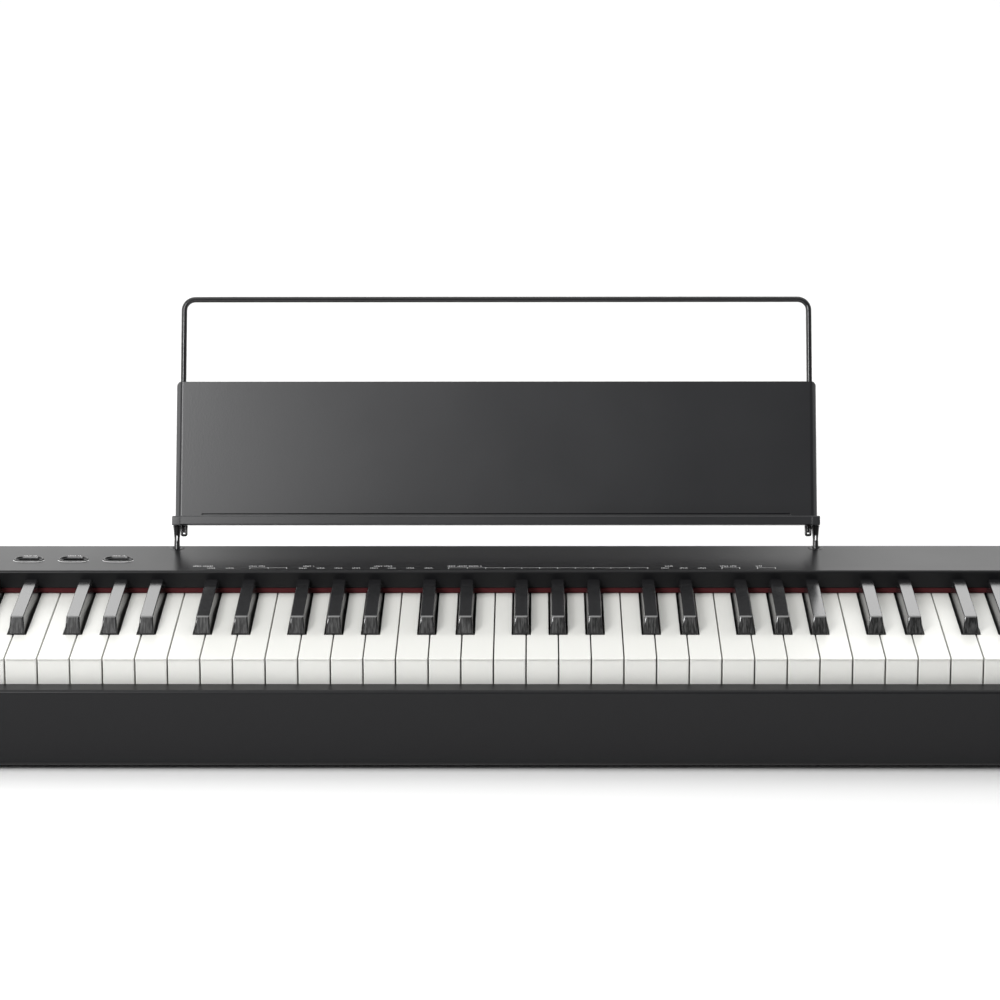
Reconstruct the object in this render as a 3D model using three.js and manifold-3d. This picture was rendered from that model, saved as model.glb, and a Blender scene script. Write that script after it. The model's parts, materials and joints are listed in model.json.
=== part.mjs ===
// Slim 88-key digital piano with its slot-in music rest, standing on four rubber feet.
// Millimetres. +X runs to the player's right, the keys face -Y, and +Z is up.
// Everything is drawn with Y = 0 at the front edge of the white keys and Z = 0 at the table.
// The last lines move the whole piano so that its origin is the centre of its footprint.

import * as THREE from 'three';
import { ConvexGeometry } from 'three/addons/geometries/ConvexGeometry.js';
import { mergeVertices } from 'three/addons/utils/BufferGeometryUtils.js';
import Module from 'manifold-3d';

const wasm = await Module();
wasm.setup();

// ---- driving dimensions ----------------------------------------------------------------

const TOUCH_GAP = 0.3; // between pieces that rest on each other
const WALL = 3; // moulded case walls

// heights above the table
const FOOT_HEIGHT = 4;
const WHITE_TOP = 81;
const BLACK_TOP = 93;
const KEY_BOTTOM = 57;
const CASE_TOP = 99;
const SLIP_TOP = 62.2;
const CASE_SPLIT = 58; // where the upper case meets the lower case at the back
const CHASSIS_BOTTOM = 36;

// depths from the front edge of the white keys
const CASE_FRONT = -16;
const SLIP_REAR = -0.8;
const FALLBOARD_Y = 148;
const CASE_REAR = 217;
const PIVOT_Y = 190;
const KEY_REAR = PIVOT_Y + 4;

// widths
const WHITE_PITCH = 23.5;
const WHITE_COUNT = 52;
const KEYBOARD_HALF = (WHITE_PITCH * WHITE_COUNT) / 2;
const CHEEK_WIDTH = 50;
const CASE_HALF = KEYBOARD_HALF + CHEEK_WIDTH;

// keys
const KEY_GAP = 1;
const OCTAVE = 7 * WHITE_PITCH;
const SLOT_WIDTH = 14.1; // room between the white keys for one black key
const NOTCH_Y = 52.9; // where a white key narrows beside a black one
const BLACK_WIDTH = 12;
const BLACK_TOP_WIDTH = 9.6;
const BLACK_FRONT = 54;
const BLACK_TOP_FRONT = 64;
const BLACK_REAR = 147;
const BAR_FRONT = 149; // the moulded bar that joins the keys of an octave
const WHITE_BAR_BOTTOM = 74;
const BLACK_BAR_FRONT = 150.5;
const BLACK_BAR_TOP = 70.5;
// black keys by octave: the white key to the left, and the centre from the octave's left edge
const BLACK_KEYS = [
  { name: 'cs', after: 0, centre: 1.5 * SLOT_WIDTH },
  { name: 'ds', after: 1, centre: 3.5 * SLOT_WIDTH },
  { name: 'fs', after: 3, centre: 90.45 },
  { name: 'gs', after: 4, centre: 117.45 },
  { name: 'as', after: 5, centre: 144.45 },
];
const WHITE_NAMES = ['c', 'd', 'e', 'f', 'g', 'a', 'b'];
const SINGLE_OCTAVE = 4; // middle C's octave has twelve separate keys

// music rest, drawn upright and leaned back as one piece
const REST_TILT = THREE.MathUtils.degToRad(24.9);
const REST_Y = 205; // where the legs enter the top cover
const ROD_RADIUS = 2.2;
const ROD_HALF = 241.7; // centre of the side rods
const ROD_TOP = 194;
const ROD_BEND = 8.5;
const LEG_HALF = 245.2; // centre of the legs
const LEG_DEPTH = 12; // how far the legs stand in their sockets
const PANEL_HALF = 246.8;
const PANEL_BOTTOM = 20;
const PANEL_TOP = 129;
const PANEL_FOLD = 3.8; // how far the slanted side folds reach out and back
const LEDGE_HALF = 247.2;

// controls in the top cover
const BUTTON_Y = 176.5;
const BUTTON_LENGTH = 22;
const BUTTON_DEPTH = 12;
const BUTTON_PROUD = 0.8;
const BUTTON_BOTTOM = 91.2;
const BUTTON_CLEARANCE = 0.4;
const VOICE_BUTTON_X = [-389.5, -355.5, -321.5, -287.5];
const POWER_BUTTON_X = -585;
const SLIDER_X = -500;
const SLIDER_SLOT = { length: 46, width: 3.2 };

// rear connectors
const JACK = { left: -220, right: -130, bottom: 22, top: 48, depth: 14 };
const SOCKET_Z = (JACK.bottom + JACK.top) / 2;

const SPEAKER_X = 450;
const SPEAKER_Y = 95;

// ---- geometry helpers ------------------------------------------------------------------

function block(x, y, z) {
  const geometry = new THREE.BoxGeometry(x[1] - x[0], y[1] - y[0], z[1] - z[0]);
  return geometry.translate((x[0] + x[1]) / 2, (y[0] + y[1]) / 2, (z[0] + z[1]) / 2);
}

function post(radius, x, y, z, sides = 20) {
  const geometry = new THREE.CylinderGeometry(radius, radius, z[1] - z[0], sides);
  return geometry.rotateX(Math.PI / 2).translate(x, y, (z[0] + z[1]) / 2);
}

// an outline in X and Y, raised from z[0] to z[1]
function raised(shape, z, curveSegments = 8) {
  const options = { depth: z[1] - z[0], bevelEnabled: false, curveSegments };
  return new THREE.ExtrudeGeometry(shape, options).translate(0, 0, z[0]);
}

// an outline in Y and Z, drawn out along X
function drawnAlongX(shape, x, curveSegments = 6) {
  const options = { depth: x[1] - x[0], bevelEnabled: false, curveSegments };
  const turn = new THREE.Matrix4().makeBasis(
    new THREE.Vector3(0, 1, 0),
    new THREE.Vector3(0, 0, 1),
    new THREE.Vector3(1, 0, 0),
  );
  return new THREE.ExtrudeGeometry(shape, options).applyMatrix4(turn).translate(x[0], 0, 0);
}

// a slot with round ends, its length along X
function stadium(length, width) {
  const radius = width / 2;
  const straight = length / 2 - radius;
  const shape = new THREE.Shape();
  shape.absarc(straight, 0, radius, -Math.PI / 2, Math.PI / 2);
  shape.absarc(-straight, 0, radius, Math.PI / 2, 1.5 * Math.PI);
  return shape;
}

function toManifold(geometry) {
  const bare = geometry.clone();
  bare.deleteAttribute('normal');
  bare.deleteAttribute('uv');
  const merged = mergeVertices(bare, 1e-4);
  const vertProperties = new Float32Array(merged.attributes.position.array);
  const triVerts = new Uint32Array(merged.index.array);
  return new wasm.Manifold(new wasm.Mesh({ numProp: 3, vertProperties, triVerts }));
}

function fromManifold(manifold) {
  const mesh = manifold.getMesh();
  const geometry = new THREE.BufferGeometry();
  const positions = new THREE.BufferAttribute(new Float32Array(mesh.vertProperties), 3);
  geometry.setAttribute('position', positions);
  geometry.setIndex(new THREE.BufferAttribute(new Uint32Array(mesh.triVerts), 1));
  geometry.computeVertexNormals();
  return geometry;
}

function join(geometries) {
  const solids = geometries.map(toManifold);
  return fromManifold(solids.reduce((whole, piece) => whole.add(piece)));
}

function cut(geometry, cutters) {
  const solids = cutters.map(toManifold);
  return fromManifold(solids.reduce((whole, piece) => whole.subtract(piece), toManifold(geometry)));
}

// a path through given points, which an extrusion follows point by point
class PointPath extends THREE.Curve {
  constructor(points) {
    super();
    this.points = points;
  }

  getPoint(t) {
    return this.points[Math.round(t * (this.points.length - 1))].clone();
  }

  getPointAt(u) {
    return this.getPoint(u);
  }

  getTangentAt(u) {
    const last = this.points.length - 1;
    const here = Math.round(u * last);
    const before = this.points[Math.max(here - 1, 0)];
    const after = this.points[Math.min(here + 1, last)];
    return after.clone().sub(before).normalize();
  }
}

function rod(points, radius, sides = 10) {
  const circle = [];
  for (let i = 0; i < sides; i += 1) {
    const angle = (2 * Math.PI * i) / sides;
    circle.push(new THREE.Vector2(radius * Math.cos(angle), radius * Math.sin(angle)));
  }
  const options = { steps: points.length - 1, extrudePath: new PointPath(points), bevelEnabled: false };
  return new THREE.ExtrudeGeometry(new THREE.Shape(circle), options);
}

const FINISHES = {
  charcoal_case: { color: 0x2b2b2d, roughness: 0.5, metalness: 0 },
  white_key: { color: 0xf0f0ea, roughness: 0.35, metalness: 0 },
  black_key: { color: 0x1b1b1c, roughness: 0.55, metalness: 0 },
  red_felt: { color: 0x5a1419, roughness: 0.95, metalness: 0 },
  grey_felt: { color: 0x7a7a78, roughness: 0.95, metalness: 0 },
  chassis_plastic: { color: 0x8c8c88, roughness: 0.6, metalness: 0 },
  circuit_board: { color: 0x2f5a38, roughness: 0.5, metalness: 0 },
  contact_rubber: { color: 0xb9b6ae, roughness: 0.8, metalness: 0 },
  foot_rubber: { color: 0x1c1c1c, roughness: 0.85, metalness: 0 },
  speaker_frame: { color: 0x303234, roughness: 0.5, metalness: 0.6 },
  black_button: { color: 0x1e1e20, roughness: 0.35, metalness: 0 },
  black_rod: { color: 0x141416, roughness: 0.3, metalness: 0.6 },
  grey_rest: { color: 0x4a4b50, roughness: 0.6, metalness: 0.3 },
};

function named(name, finish, geometry) {
  const mesh = new THREE.Mesh(geometry, new THREE.MeshStandardMaterial(FINISHES[finish]));
  mesh.name = name;
  return mesh;
}

// ---- keys ------------------------------------------------------------------------------

// where a white key's narrow rear part lies, beside the black keys that are present
function tailEdges(index, blacks) {
  const leftBlack = blacks.find((black) => black.after === index - 1);
  const rightBlack = blacks.find((black) => black.after === index);
  const left = index * WHITE_PITCH + KEY_GAP / 2;
  const right = (index + 1) * WHITE_PITCH - KEY_GAP / 2;
  return {
    left: leftBlack ? leftBlack.centre + SLOT_WIDTH / 2 : left,
    right: rightBlack ? rightBlack.centre - SLOT_WIDTH / 2 : right,
  };
}

// one outline for the white keys first to last, joined behind BAR_FRONT
function whiteOutline(first, last, blacks) {
  const points = [];
  for (let index = first; index <= last; index += 1) {
    const left = index * WHITE_PITCH + KEY_GAP / 2;
    const right = (index + 1) * WHITE_PITCH - KEY_GAP / 2;
    const tail = tailEdges(index, blacks);
    points.push([tail.left, index === first ? KEY_REAR : BAR_FRONT]);
    if (tail.left > left) {
      points.push([tail.left, NOTCH_Y], [left, NOTCH_Y]);
    }
    points.push([left, 0], [right, 0]);
    if (tail.right < right) {
      points.push([right, NOTCH_Y], [tail.right, NOTCH_Y]);
    }
    points.push([tail.right, index === last ? KEY_REAR : BAR_FRONT]);
  }
  return new THREE.Shape(points.map(([x, y]) => new THREE.Vector2(x, y)));
}

function whiteKeys(first, last, blacks) {
  const keys = raised(whiteOutline(first, last, blacks), [KEY_BOTTOM, WHITE_TOP]);
  const wide = [first * WHITE_PITCH - 1, (last + 1) * WHITE_PITCH + 1];
  return cut(keys, [block(wide, [BAR_FRONT, KEY_REAR + 1], [KEY_BOTTOM - 1, WHITE_BAR_BOTTOM])]);
}

// a black key's block with its sloped front and narrower top
function blackCap(centre) {
  const points = [];
  const levels = [
    [KEY_BOTTOM, BLACK_WIDTH, BLACK_FRONT],
    [WHITE_TOP, BLACK_WIDTH, BLACK_FRONT],
    [BLACK_TOP, BLACK_TOP_WIDTH, BLACK_TOP_FRONT],
  ];
  for (const [z, width, front] of levels) {
    for (const x of [centre - width / 2, centre + width / 2]) {
      points.push(new THREE.Vector3(x, front, z), new THREE.Vector3(x, BLACK_REAR, z));
    }
  }
  return new ConvexGeometry(points);
}

function blackTail(centre, rear) {
  const half = BLACK_WIDTH / 2;
  return block([centre - half, centre + half], [BLACK_REAR - 4, rear], [KEY_BOTTOM, BLACK_BAR_TOP]);
}

function singleBlackKey(black) {
  return join([blackCap(black.centre), blackTail(black.centre, KEY_REAR)]);
}

function blackComb(blacks) {
  const pieces = blacks.map((black) => blackCap(black.centre));
  for (const black of blacks) {
    pieces.push(blackTail(black.centre, BLACK_BAR_FRONT + 2));
  }
  const across = [KEY_GAP / 2, OCTAVE - KEY_GAP / 2];
  pieces.push(block(across, [BLACK_BAR_FRONT, KEY_REAR], [KEY_BOTTOM, BLACK_BAR_TOP]));
  return join(pieces);
}

// the left edge of an octave; octave 0 is the short one that starts at A
function octaveX(octave) {
  return (octave - 1) * OCTAVE + 2 * WHITE_PITCH - KEYBOARD_HALF;
}

function placed(mesh, octave) {
  mesh.position.x = octaveX(octave);
  return mesh;
}

function singleKeyOctave(octave) {
  const keys = new THREE.Group();
  WHITE_NAMES.forEach((name, index) => {
    const key = whiteKeys(index, index, BLACK_KEYS);
    keys.add(placed(named(`key_${name}${octave}`, 'white_key', key), octave));
  });
  for (const black of BLACK_KEYS) {
    const key = singleBlackKey(black);
    keys.add(placed(named(`key_${black.name}${octave}`, 'black_key', key), octave));
  }
  return keys;
}

function combOctave(octave) {
  const keys = new THREE.Group();
  const whites = whiteKeys(0, 6, BLACK_KEYS);
  keys.add(placed(named(`white_keys_${octave}`, 'white_key', whites), octave));
  keys.add(placed(named(`black_keys_${octave}`, 'black_key', blackComb(BLACK_KEYS)), octave));
  return keys;
}

function endKeys() {
  const keys = new THREE.Group();
  const highestBlack = BLACK_KEYS[4];
  keys.add(placed(named('white_keys_0', 'white_key', whiteKeys(5, 6, [highestBlack])), 0));
  keys.add(placed(named('key_as0', 'black_key', singleBlackKey(highestBlack)), 0));
  keys.add(placed(named('key_c8', 'white_key', whiteKeys(0, 0, [])), 8));
  return keys;
}

function keyboard() {
  const keys = new THREE.Group();
  keys.add(endKeys());
  for (let octave = 1; octave <= 7; octave += 1) {
    keys.add(octave === SINGLE_OCTAVE ? singleKeyOctave(octave) : combOctave(octave));
  }
  return keys;
}

// ---- case ------------------------------------------------------------------------------

// floor, front key slip with its inner lip, and the lower back wall
function lowerCaseOutline() {
  const front = CASE_FRONT;
  const bend = 6;
  const shape = new THREE.Shape();
  shape.moveTo(front + 5, FOOT_HEIGHT);
  shape.absarc(front + 5, FOOT_HEIGHT + 5, 5, -Math.PI / 2, Math.PI, true);
  shape.absarc(front + bend, SLIP_TOP - bend, bend, Math.PI, Math.PI / 2, true);
  shape.lineTo(SLIP_REAR, SLIP_TOP);
  shape.lineTo(SLIP_REAR, SLIP_TOP - 10);
  shape.lineTo(SLIP_REAR - WALL, SLIP_TOP - 10);
  shape.lineTo(SLIP_REAR - WALL, SLIP_TOP - WALL);
  shape.absarc(front + bend, SLIP_TOP - bend, bend - WALL, Math.PI / 2, Math.PI, false);
  shape.lineTo(front + WALL, FOOT_HEIGHT + WALL);
  shape.lineTo(CASE_REAR - WALL, FOOT_HEIGHT + WALL);
  shape.lineTo(CASE_REAR - WALL, CASE_SPLIT);
  shape.lineTo(CASE_REAR, CASE_SPLIT);
  shape.absarc(CASE_REAR - 5, FOOT_HEIGHT + 5, 5, 0, -Math.PI / 2, true);
  return shape;
}

// sound slots under one speaker
function speakerSlots(x) {
  const slots = [];
  for (let i = -5; i <= 5; i += 1) {
    const length = 50 - Math.abs(i) * 3;
    const y = [SPEAKER_Y - length / 2, SPEAKER_Y + length / 2];
    slots.push(block([x + i * 9 - 1.5, x + i * 9 + 1.5], y, [FOOT_HEIGHT - 1, FOOT_HEIGHT + WALL + 1]));
  }
  return slots;
}

function lowerCase() {
  const tray = drawnAlongX(lowerCaseOutline(), [-KEYBOARD_HALF, KEYBOARD_HALF]);
  const bosses = [80, 240].flatMap((x) => [70, 150].map((y) => post(4, x, y, [6.5, 11.7], 12)));
  const window = block(
    [JACK.left, JACK.right],
    [CASE_REAR - WALL - 1, CASE_REAR + 1],
    [JACK.bottom, JACK.top],
  );
  return cut(join([tray, ...bosses]), [window, ...speakerSlots(-SPEAKER_X), ...speakerSlots(SPEAKER_X)]);
}

// fallboard, top cover and upper back wall, moulded in one
function upperCaseOutline() {
  const bend = 8;
  const lip = WHITE_TOP + 4.7;
  const shape = new THREE.Shape();
  shape.moveTo(FALLBOARD_Y, lip);
  shape.absarc(FALLBOARD_Y + 1.5, CASE_TOP - 1.5, 1.5, Math.PI, Math.PI / 2, true);
  shape.absarc(CASE_REAR - bend, CASE_TOP - bend, bend, Math.PI / 2, 0, true);
  shape.lineTo(CASE_REAR, CASE_SPLIT + TOUCH_GAP);
  shape.lineTo(CASE_REAR - WALL, CASE_SPLIT + TOUCH_GAP);
  shape.absarc(CASE_REAR - bend, CASE_TOP - bend, bend - WALL, 0, Math.PI / 2, false);
  shape.lineTo(FALLBOARD_Y + WALL, CASE_TOP - WALL);
  shape.lineTo(FALLBOARD_Y + WALL, lip);
  return shape;
}

function buttonHole(x) {
  const grow = 2 * BUTTON_CLEARANCE;
  const hole = stadium(BUTTON_LENGTH + grow, BUTTON_DEPTH + grow);
  return raised(hole, [CASE_TOP - WALL - 1, CASE_TOP + 1], 6).translate(x, BUTTON_Y, 0);
}

function upperCase(restMatrix) {
  const shell = drawnAlongX(upperCaseOutline(), [-KEYBOARD_HALF, KEYBOARD_HALF]);
  const slot = stadium(SLIDER_SLOT.length, SLIDER_SLOT.width);
  const sliderSlot = raised(slot, [CASE_TOP - WALL - 1, CASE_TOP + 1], 4);
  const legHoles = [-LEG_HALF, LEG_HALF].map((x) => post(5, x, 0, [-20, 12], 16).applyMatrix4(restMatrix));
  const holes = [POWER_BUTTON_X, ...VOICE_BUTTON_X].map(buttonHole);
  return cut(shell, [sliderSlot.translate(SLIDER_X, BUTTON_Y, 0), ...legHoles, ...holes]);
}

// an end block's side view, moved inwards by inset
function cheekOutline(inset) {
  const bottom = FOOT_HEIGHT + inset;
  const front = CASE_FRONT + inset;
  const rear = CASE_REAR - inset;
  const shape = new THREE.Shape();
  shape.moveTo(front + 5, bottom);
  shape.lineTo(front, bottom + 5);
  shape.lineTo(front, 74);
  shape.absarc(front + 17, 74, 17 - inset, Math.PI, Math.PI / 2, true);
  shape.lineTo(FALLBOARD_Y, CASE_TOP - inset);
  shape.absarc(rear - 8, CASE_TOP - inset - 8, 8, Math.PI / 2, 0, true);
  shape.lineTo(rear, bottom + 5);
  shape.lineTo(rear - 5, bottom);
  return shape;
}

function cheek(side) {
  const inner = KEYBOARD_HALF + TOUCH_GAP;
  const span = (from, to) => (side > 0 ? [from, to] : [-to, -from]);
  const body = drawnAlongX(cheekOutline(0), span(inner, CASE_HALF));
  const hollow = drawnAlongX(cheekOutline(WALL), span(inner + WALL, CASE_HALF - WALL));
  const doorway = block(span(inner - 1, inner + WALL + 1), [10, 205], [12, 55]);
  return cut(body, [hollow, doorway]);
}

function feltStrip() {
  const y = [FALLBOARD_Y + 0.2, FALLBOARD_Y + 2.8];
  return block([-KEYBOARD_HALF + 1, KEYBOARD_HALF - 1], y, [WHITE_TOP + 0.4, WHITE_TOP + 4.4]);
}

function foot(x, y) {
  const profile = [[0, 0], [8, 0], [9, 1], [9, FOOT_HEIGHT - TOUCH_GAP], [0, FOOT_HEIGHT - TOUCH_GAP]];
  const points = profile.map(([radius, z]) => new THREE.Vector2(radius, z));
  return new THREE.LatheGeometry(points, 20).rotateX(Math.PI / 2).translate(x, y, 0);
}

function feet() {
  const group = new THREE.Group();
  for (const [end, x] of [['left', -560], ['right', 560]]) {
    for (const [row, y] of [['front', 12], ['rear', 192]]) {
      group.add(named(`foot_${row}_${end}`, 'foot_rubber', foot(x, y)));
    }
  }
  return group;
}

// ---- inside the case -------------------------------------------------------------------

const BOARD = 1.6; // circuit board thickness
const INNER_HALF = KEYBOARD_HALF - 5;

// the moulded bed under the keys, with ribs down to the floor and a rail for each felt and board
function keyChassis() {
  const across = [-INNER_HALF, INNER_HALF];
  const floor = CHASSIS_BOTTOM + WALL;
  const pieces = [
    block(across, [4, 199], [CHASSIS_BOTTOM, floor]),
    block(across, [4, 14], [floor - 1, 43]),
    block(across, [100, 120], [floor - 1, 45]),
    block(across, [196, 199], [floor - 1, 76]),
  ];
  for (const x of [-600, -300, 0, 300, 600]) {
    pieces.push(block([x - 1.5, x + 1.5], [30, 190], [FOOT_HEIGHT + WALL + TOUCH_GAP, CHASSIS_BOTTOM + 1]));
  }
  return join(pieces);
}

function keyStopFelt() {
  return block([-INNER_HALF, INNER_HALF], [4.5, 13.5], [43 + TOUCH_GAP, 46.6]);
}

function contactBoard() {
  const bottom = 45 + TOUCH_GAP;
  return block([-INNER_HALF, INNER_HALF], [95, 125], [bottom, bottom + BOARD]);
}

function contactRubber() {
  const bottom = 45 + BOARD + 2 * TOUCH_GAP;
  return block([-INNER_HALF, INNER_HALF], [102, 118], [bottom, 51.6]);
}

function mainBoard() {
  const bottom = 12;
  return join([
    block([60, 260], [60, 160], [bottom, bottom + BOARD]),
    block([90, 120], [90, 120], [bottom + 1, bottom + 4]),
    block([150, 165], [80, 110], [bottom + 1, bottom + 4]),
    post(6, 220, 130, [bottom + 1, bottom + 18], 14),
    block([200, 240], [70, 90], [bottom + 1, bottom + 12]),
  ]);
}

function panelBoard() {
  const bottom = 85;
  const switches = [POWER_BUTTON_X, ...VOICE_BUTTON_X];
  const pieces = [block([-605, -260], [160, 192], [bottom, bottom + BOARD])];
  for (const x of switches) {
    pieces.push(block([x - 3, x + 3], [BUTTON_Y - 3, BUTTON_Y + 3], [bottom + 1, 89.3]));
  }
  pieces.push(block([SLIDER_X - 30, SLIDER_X + 30], [BUTTON_Y - 6, BUTTON_Y + 6], [bottom + 1, 88.5]));
  return join(pieces);
}

// the plate of rear sockets: power inlet, pedal jack and a data socket
function jackPanel() {
  const gap = TOUCH_GAP;
  const y = [CASE_REAR - JACK.depth, CASE_REAR];
  const plate = block([JACK.left + gap, JACK.right - gap], y, [JACK.bottom + gap, JACK.top - gap]);
  const depth = [CASE_REAR - 11, CASE_REAR + 1];
  const bores = [-205, -180].map((x) => {
    const bore = new THREE.CylinderGeometry(4, 4, depth[1] - depth[0], 20);
    return bore.translate(x, (depth[0] + depth[1]) / 2, SOCKET_Z);
  });
  const data = block([-158, -145], depth, [SOCKET_Z - 5.5, SOCKET_Z + 5.5]);
  return cut(plate, [...bores, data]);
}

// oval speaker facing down through the floor
function speaker(x) {
  const seat = FOOT_HEIGHT + WALL + TOUCH_GAP;
  const cone = new THREE.CylinderGeometry(17, 28, 12, 24).rotateX(Math.PI / 2);
  return join([
    raised(stadium(126, 64), [seat, seat + 3], 8),
    cone.scale(1.8, 1, 1).translate(0, 0, seat + 8),
    post(18, 0, 0, [seat + 13, seat + 23], 24),
  ]).translate(x, SPEAKER_Y, 0);
}

// ---- controls --------------------------------------------------------------------------

function button(x) {
  const outline = stadium(BUTTON_LENGTH, BUTTON_DEPTH);
  return raised(outline, [BUTTON_BOTTOM, CASE_TOP + BUTTON_PROUD], 6).translate(x, BUTTON_Y, 0);
}

function volumeSlider() {
  const stem = block([-1.2, 1.2], [-1.2, 1.2], [90, CASE_TOP + 1]);
  const cap = block([-4.5, 4.5], [-7, 7], [CASE_TOP + TOUCH_GAP, CASE_TOP + 5]);
  return join([stem, cap]).translate(SLIDER_X, BUTTON_Y, 0);
}

function controls() {
  const group = new THREE.Group();
  group.add(named('power_button', 'black_button', button(POWER_BUTTON_X)));
  VOICE_BUTTON_X.forEach((x, i) => {
    group.add(named(`voice_button_${i + 1}`, 'black_button', button(x)));
  });
  group.add(named('volume_slider', 'black_button', volumeSlider()));
  return group;
}

// ---- music rest, upright: X across, -Y towards the player, Z up along the slope ---------

// half of the bent rod, from inside a leg up to the middle of the top bar
function halfRod(side) {
  const step = LEG_HALF - ROD_HALF;
  const points = [[LEG_HALF, 9.8], [LEG_HALF, 13], [LEG_HALF - 0.1 * step, 14]];
  points.push([ROD_HALF + 0.1 * step, 18.8], [ROD_HALF, 20], [ROD_HALF, 110]);
  const turns = 6;
  for (let i = 0; i <= turns; i += 1) {
    const angle = (Math.PI / 2) * (i / turns);
    points.push([
      ROD_HALF - ROD_BEND + ROD_BEND * Math.cos(angle),
      ROD_TOP - ROD_BEND + ROD_BEND * Math.sin(angle),
    ]);
  }
  return points.map(([x, z]) => new THREE.Vector3(side * x, 0, z));
}

function restFrame() {
  return rod([...halfRod(-1), new THREE.Vector3(0, 0, ROD_TOP), ...halfRod(1).reverse()], ROD_RADIUS);
}

// a shallow tray section: flat front, slanted side folds, and short edges that run straight back
function restPanel() {
  const front = -(ROD_RADIUS + 1.8);
  const skin = 1.2;
  const rear = front + PANEL_FOLD + 3.2;
  const inset = skin * Math.tan(Math.PI / 8);
  const half = [
    [PANEL_HALF - PANEL_FOLD, front],
    [PANEL_HALF, front + PANEL_FOLD],
    [PANEL_HALF, rear],
    [PANEL_HALF - skin, rear],
    [PANEL_HALF - skin, front + PANEL_FOLD + inset],
    [PANEL_HALF - PANEL_FOLD - inset, front + skin],
  ];
  const mirrored = half.map(([x, y]) => [-x, y]).reverse();
  const shape = new THREE.Shape([...half, ...mirrored].map(([x, y]) => new THREE.Vector2(x, y)));
  return raised(shape, [PANEL_BOTTOM, PANEL_TOP], 4);
}

const LEDGE = { rear: -4.2, front: -21, top: 22.2, bottom: 15.3, shelf: 19, skin: 2.2 };

// shelf for the sheet music, with a lip that keeps it from sliding off
function restLedge() {
  const shape = new THREE.Shape();
  shape.moveTo(LEDGE.rear, LEDGE.shelf - LEDGE.skin);
  shape.lineTo(LEDGE.rear, LEDGE.shelf);
  shape.lineTo(LEDGE.front + LEDGE.skin, LEDGE.shelf);
  shape.lineTo(LEDGE.front + LEDGE.skin, LEDGE.top);
  shape.lineTo(LEDGE.front, LEDGE.top);
  shape.lineTo(LEDGE.front, LEDGE.bottom);
  shape.lineTo(LEDGE.front + LEDGE.skin, LEDGE.bottom);
  shape.lineTo(LEDGE.front + LEDGE.skin, LEDGE.shelf - LEDGE.skin);
  return drawnAlongX(shape, [-LEDGE_HALF, LEDGE_HALF]);
}

// hooked clip under the ledge that holds it to the panel's lower edge
function restClip(side) {
  const x = side * 239;
  return block([x - 2.5, x + 2.5], [-18, -2.8], [9.6, LEDGE.shelf - LEDGE.skin - TOUCH_GAP]);
}

// tapered leg that grips the rod's end and stands in the case
function restFoot(side) {
  const profile = [[0, -LEG_DEPTH], [2, -LEG_DEPTH], [2.3, -LEG_DEPTH + 1], [2.3, 6], [2.9, 13]];
  profile.push([2.35, 13], [2.35, 9.5], [0, 9.5]);
  const points = profile.map(([radius, z]) => new THREE.Vector2(radius, z));
  return new THREE.LatheGeometry(points, 16).rotateX(Math.PI / 2).translate(side * LEG_HALF, 0, 0);
}

// lining of the hole in the top cover, closed at the bottom
function restSocket(side) {
  const profile = [[0, -16], [4.5, -16], [4.5, -1], [2.7, -1], [2.7, -LEG_DEPTH - 0.3], [0, -LEG_DEPTH - 0.3]];
  const points = profile.map(([radius, z]) => new THREE.Vector2(radius, z));
  return new THREE.LatheGeometry(points, 16).rotateX(Math.PI / 2).translate(side * LEG_HALF, 0, 0);
}

function leanedGroup() {
  const group = new THREE.Group();
  group.position.set(0, REST_Y, CASE_TOP);
  group.rotation.x = -REST_TILT;
  group.updateMatrix();
  return group;
}

function musicRest() {
  const rest = leanedGroup();
  rest.add(named('rest_frame', 'black_rod', restFrame()));
  rest.add(named('rest_panel', 'grey_rest', restPanel()));
  rest.add(named('rest_ledge', 'grey_rest', restLedge()));
  for (const [end, side] of [['left', -1], ['right', 1]]) {
    rest.add(named(`rest_clip_${end}`, 'black_rod', restClip(side)));
    rest.add(named(`rest_leg_${end}`, 'black_rod', restFoot(side)));
    rest.add(named(`rest_socket_${end}`, 'black_button', restSocket(side)));
  }
  return rest;
}

// ---- assembly --------------------------------------------------------------------------

const rest = musicRest();
const piano = new THREE.Group();
piano.name = 'digital_piano';
piano.add(
  named('lower_case', 'charcoal_case', lowerCase()),
  named('upper_case', 'charcoal_case', upperCase(rest.matrix)),
  named('left_cheek', 'charcoal_case', cheek(-1)),
  named('right_cheek', 'charcoal_case', cheek(1)),
  named('felt_strip', 'red_felt', feltStrip()),
  named('key_chassis', 'chassis_plastic', keyChassis()),
  named('key_stop_felt', 'grey_felt', keyStopFelt()),
  named('contact_board', 'circuit_board', contactBoard()),
  named('contact_rubber', 'contact_rubber', contactRubber()),
  named('main_board', 'circuit_board', mainBoard()),
  named('panel_board', 'circuit_board', panelBoard()),
  named('jack_panel', 'black_button', jackPanel()),
  named('speaker_left', 'speaker_frame', speaker(-SPEAKER_X)),
  named('speaker_right', 'speaker_frame', speaker(SPEAKER_X)),
  feet(),
  keyboard(),
  controls(),
  rest,
);

// origin at the centre of the footprint, on the table
const extent = new THREE.Box3().setFromObject(piano, true);
piano.position.set(0, -(extent.min.y + extent.max.y) / 2, -extent.min.z);

export default piano;
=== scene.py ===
# %% [markdown]
# # A slim digital piano, dressed around its CAD frame
#
# The piano's frame is already fixed: every body, hinge and hole was drawn in CAD.
# This lesson adds what the eye reads: rounded plastic edges, grained key tops, felt, a bent rod,
# printed marks, and light. Nothing here moves or resizes a CAD part. Each new piece is placed
# from a CAD box, rides on the CAD body it belongs to, and stands for the CAD node it covers.

# %% Load the frame
import json
from math import cos, pi, radians, sin, tan

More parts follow.
